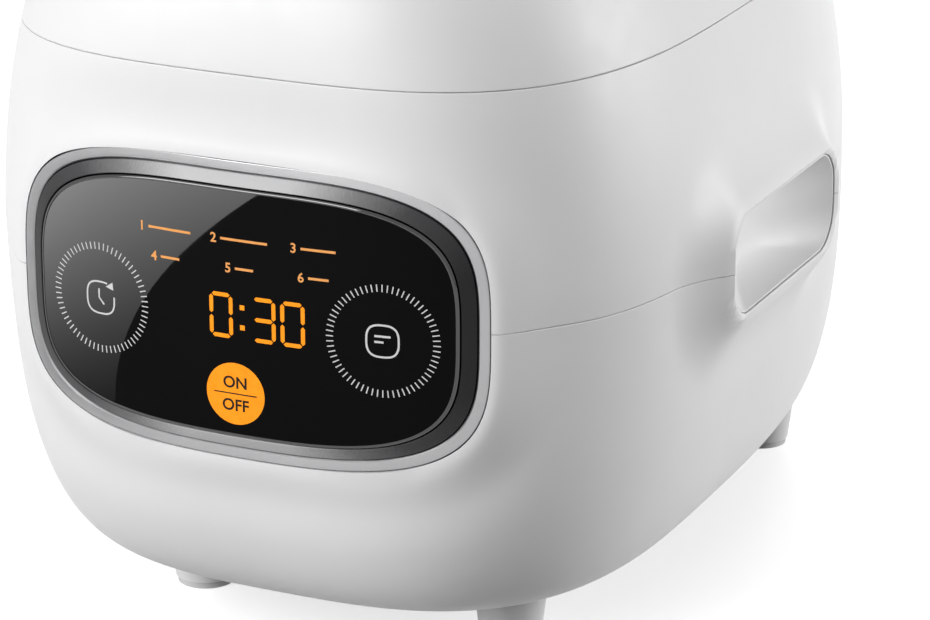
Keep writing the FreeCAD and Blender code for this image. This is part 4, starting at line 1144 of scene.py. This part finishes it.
def draw_digits(material):
    """Clock display; each digit is a choice of the seven bars a to g."""
    shown = {"0": "abcdef", "3": "abcdg"}
    half = (DIGIT_WIDTH - DIGIT_BAR) / 2
    rise = (DIGIT_HEIGHT - DIGIT_BAR) / 2
    bars = {
        "a": ((-half, rise), (half, rise)), "b": ((half, rise), (half, 0)),
        "c": ((half, 0), (half, -rise)), "d": ((-half, -rise), (half, -rise)),
        "e": ((-half, 0), (-half, -rise)), "f": ((-half, rise), (-half, 0)),
        "g": ((-half, 0), (half, 0))}
    flat = bmesh.new()
    for x, digit in DIGIT_CENTRES:
        for letter in shown[digit]:
            segment(flat, *moved(bars[letter], (x, DIGIT_DZ)))
    for side in (-1, 1):
        dz = DIGIT_DZ + side * COLON_SPREAD
        add_bar(flat, (COLON_X - COLON_SIZE / 2, dz), (COLON_X + COLON_SIZE / 2, dz), COLON_SIZE)
    wrap(flat, "clock_digits", material)


def draw_start_disc(orange, dark):
    """Round key with a line between its two words."""
    flat = bmesh.new()
    add_face(flat, round_spots((0, DISC_DZ), DISC_RADIUS, 0, 360, 2.0, DISC_POINTS)[:-1])
    wrap(flat, "start_disc", orange)
    flat = bmesh.new()
    add_text(flat, "ON", (0, DISC_DZ + WORD_DZ), WORD_HEIGHT)
    add_bar(flat, (-DISC_LINE_HALF, DISC_DZ), (DISC_LINE_HALF, DISC_DZ), DISC_LINE)
    add_text(flat, "OFF", (0, DISC_DZ - WORD_DZ), WORD_HEIGHT)
    words = wrap(flat, "start_words", dark)
    words.data.transform(Matrix.Translation((0, -WORD_LIFT * MM, 0)))


def draw_panel(materials):
    white = materials["print_white"]
    draw_tick_ring("left_ticks", -RING_X, white)
    draw_tick_ring("right_ticks", RING_X, white)
    draw_timer_sign(white)
    draw_menu_sign(white)
    draw_labels(materials["print_tan"])
    draw_digits(materials["print_orange"])
    draw_start_disc(materials["print_orange"], materials["print_dark"])


# Stage: floor, background, lamps and camera

def background_rays(material):
    """One for rays from the camera, and for mirror and glass rays; nought for light rays."""
    path = add_node(material, "ShaderNodeLightPath")
    first = math_node(material, "MAXIMUM", path.outputs["Is Camera Ray"], path.outputs["Is Glossy Ray"])
    return math_node(material, "MAXIMUM", first, path.outputs["Is Transmission Ray"])


def toned(material, seen, tones):
    """Value that goes from the first tone for light rays to the second for seen rays."""
    node = add_node(material, "ShaderNodeMapRange", {"Value": seen, "To Min": tones[0], "To Max": tones[1]})
    return node.outputs["Result"]


def show(material, shader):
    feed(material, material.node_tree.nodes["Material Output"], "Surface", shader)


def make_floor():
    mesh = bpy.data.meshes.new("floor")
    corners = [(x * FLOOR_REACH, y * FLOOR_REACH, 0) for x, y in ((-1, -1), (1, -1), (1, 1), (-1, 1))]
    mesh.from_pydata(corners, [], [(0, 1, 2, 3)])
    floor = placed("floor", mesh)
    material = new_material("floor")
    seen = background_rays(material)
    shade = add_node(material, "ShaderNodeBsdfDiffuse", {"Color": toned(material, seen, FLOOR_TONES)})
    glow = math_node(material, "MULTIPLY", seen, FLOOR_GLOW)
    white = add_node(material, "ShaderNodeEmission", {"Strength": glow})
    mixed = add_node(material, "ShaderNodeAddShader",
                     {0: shade.outputs["BSDF"], 1: white.outputs["Emission"]})
    show(material, mixed.outputs["Shader"])
    mesh.materials.append(material)


def mirror_spot(x, dz):
    """Where the line of sight to a point of the glass meets the card's plane after the mirror."""
    sine = x / GLASS_RADIUS
    normal = Vector((sine, -math.sqrt(1 - sine * sine), 0))
    spot = Vector((x, GLASS_AXIS_Y - math.sqrt(GLASS_RADIUS ** 2 - x * x), PANEL_Z + dz))
    ray = (spot - Vector(CAMERA_PLACE)).normalized()
    ray -= 2 * ray.dot(normal) * normal
    return (spot + ray * ((CARD_Z - spot.z) / ray.z)) * MM


def card_material():
    material = new_material("glass_card")
    level = add_node(material, "ShaderNodeAttribute", attribute_name="glow")
    light = add_node(material, "ShaderNodeEmission", {"Strength": level.outputs["Fac"]})
    show(material, light.outputs["Emission"])
    return material


def card_mesh():
    """Grid whose mirror image on the glass runs from the left to an arc, brighter towards its top."""
    flat = bmesh.new()
    glow = flat.verts.layers.float.new("glow")
    rows = []
    for row in range(CARD_STEPS + 1):
        height = row / CARD_STEPS
        dz = CARD_HALF_Z * (2 * height - 1)
        edge = CARD_ARC[0] + CARD_ARC[1] * dz + CARD_ARC[2] * dz * dz
        line = []
        for column in range(CARD_STEPS + 1):
            across = column / CARD_STEPS
            vert = flat.verts.new(mirror_spot(CARD_LEFT + (edge - CARD_LEFT) * across, dz))
            vert[glow] = CARD_GLOW * (CARD_FAINT + height ** CARD_RISE) * (1 - CARD_FADE * across)
            line.append(vert)
        rows.append(line)
    for first, second in zip(rows, rows[1:]):
        for index in range(CARD_STEPS):
            flat.faces.new((first[index], first[index + 1], second[index + 1], second[index]))
    return mesh_from(flat, "glass_card", card_material())


def make_glass_card(glass):
    """Low bright card at the front left that only the glass mirrors."""
    card = placed("glass_card", card_mesh())
    card.visible_camera = False
    card.visible_diffuse = False
    card.visible_shadow = False
    mirrors = bpy.data.collections.new("card_mirrors")
    mirrors.objects.link(glass)
    card.light_linking.receiver_collection = mirrors


def make_world():
    world = bpy.data.worlds.new("studio")
    bpy.context.scene.world = world
    world.use_nodes = True
    background = world.node_tree.nodes["Background"]
    background.inputs["Color"].default_value = (1.0, 1.0, 1.0, 1.0)
    feed(world, background, "Strength", toned(world, background_rays(world), WORLD_TONES))


def lamp(name, azimuth, elevation, distance, size, power):
    """Soft rectangular lamp aimed at the middle of the object."""
    data = bpy.data.lights.new(name, "AREA")
    data.shape = "RECTANGLE"
    data.size, data.size_y = size
    data.energy = power
    turn = math.radians(azimuth)
    lift = math.radians(elevation)
    away = Vector((math.sin(turn) * math.cos(lift), -math.cos(turn) * math.cos(lift), math.sin(lift)))
    thing = placed(name, data)
    thing.location = Vector(LAMP_AIM) + away * distance
    thing.rotation_euler = away.to_track_quat("Z", "Y").to_euler()


def make_camera():
    data = bpy.data.cameras.new("camera")
    data.sensor_width = CAMERA_SENSOR
    data.lens = CAMERA_LENS
    data.clip_start, data.clip_end = CAMERA_RANGE
    camera = placed("camera", data)
    camera.location = Vector(CAMERA_PLACE) * MM
    camera.rotation_euler = (math.radians(90 - CAMERA_ELEVATION), 0, math.radians(CAMERA_AZIMUTH))
    bpy.context.scene.camera = camera


# Making of the scene

for plain in list(bpy.data.materials):
    bpy.data.materials.remove(plain)
materials = make_materials()
dress_nodes(materials)
make_lower_shell(materials["white_shell"])
make_upper_shell(materials["white_shell"])
make_lid_cover(materials["white_shell"])
make_scoop(-1, "left", materials["white_plastic"])
make_scoop(1, "right", materials["white_plastic"])
make_springs(materials["bare_steel"])
make_bezel(materials["bezel_grey"])
make_trim(materials["trim_metal"])
glass = make_glass(materials["glass_edge"], materials["panel_black"])
draw_panel(materials)
make_floor()
make_glass_card(glass)
make_world()
for settings in LAMPS:
    lamp(*settings)
make_camera()
bpy.context.scene.view_settings.view_transform = "Standard"
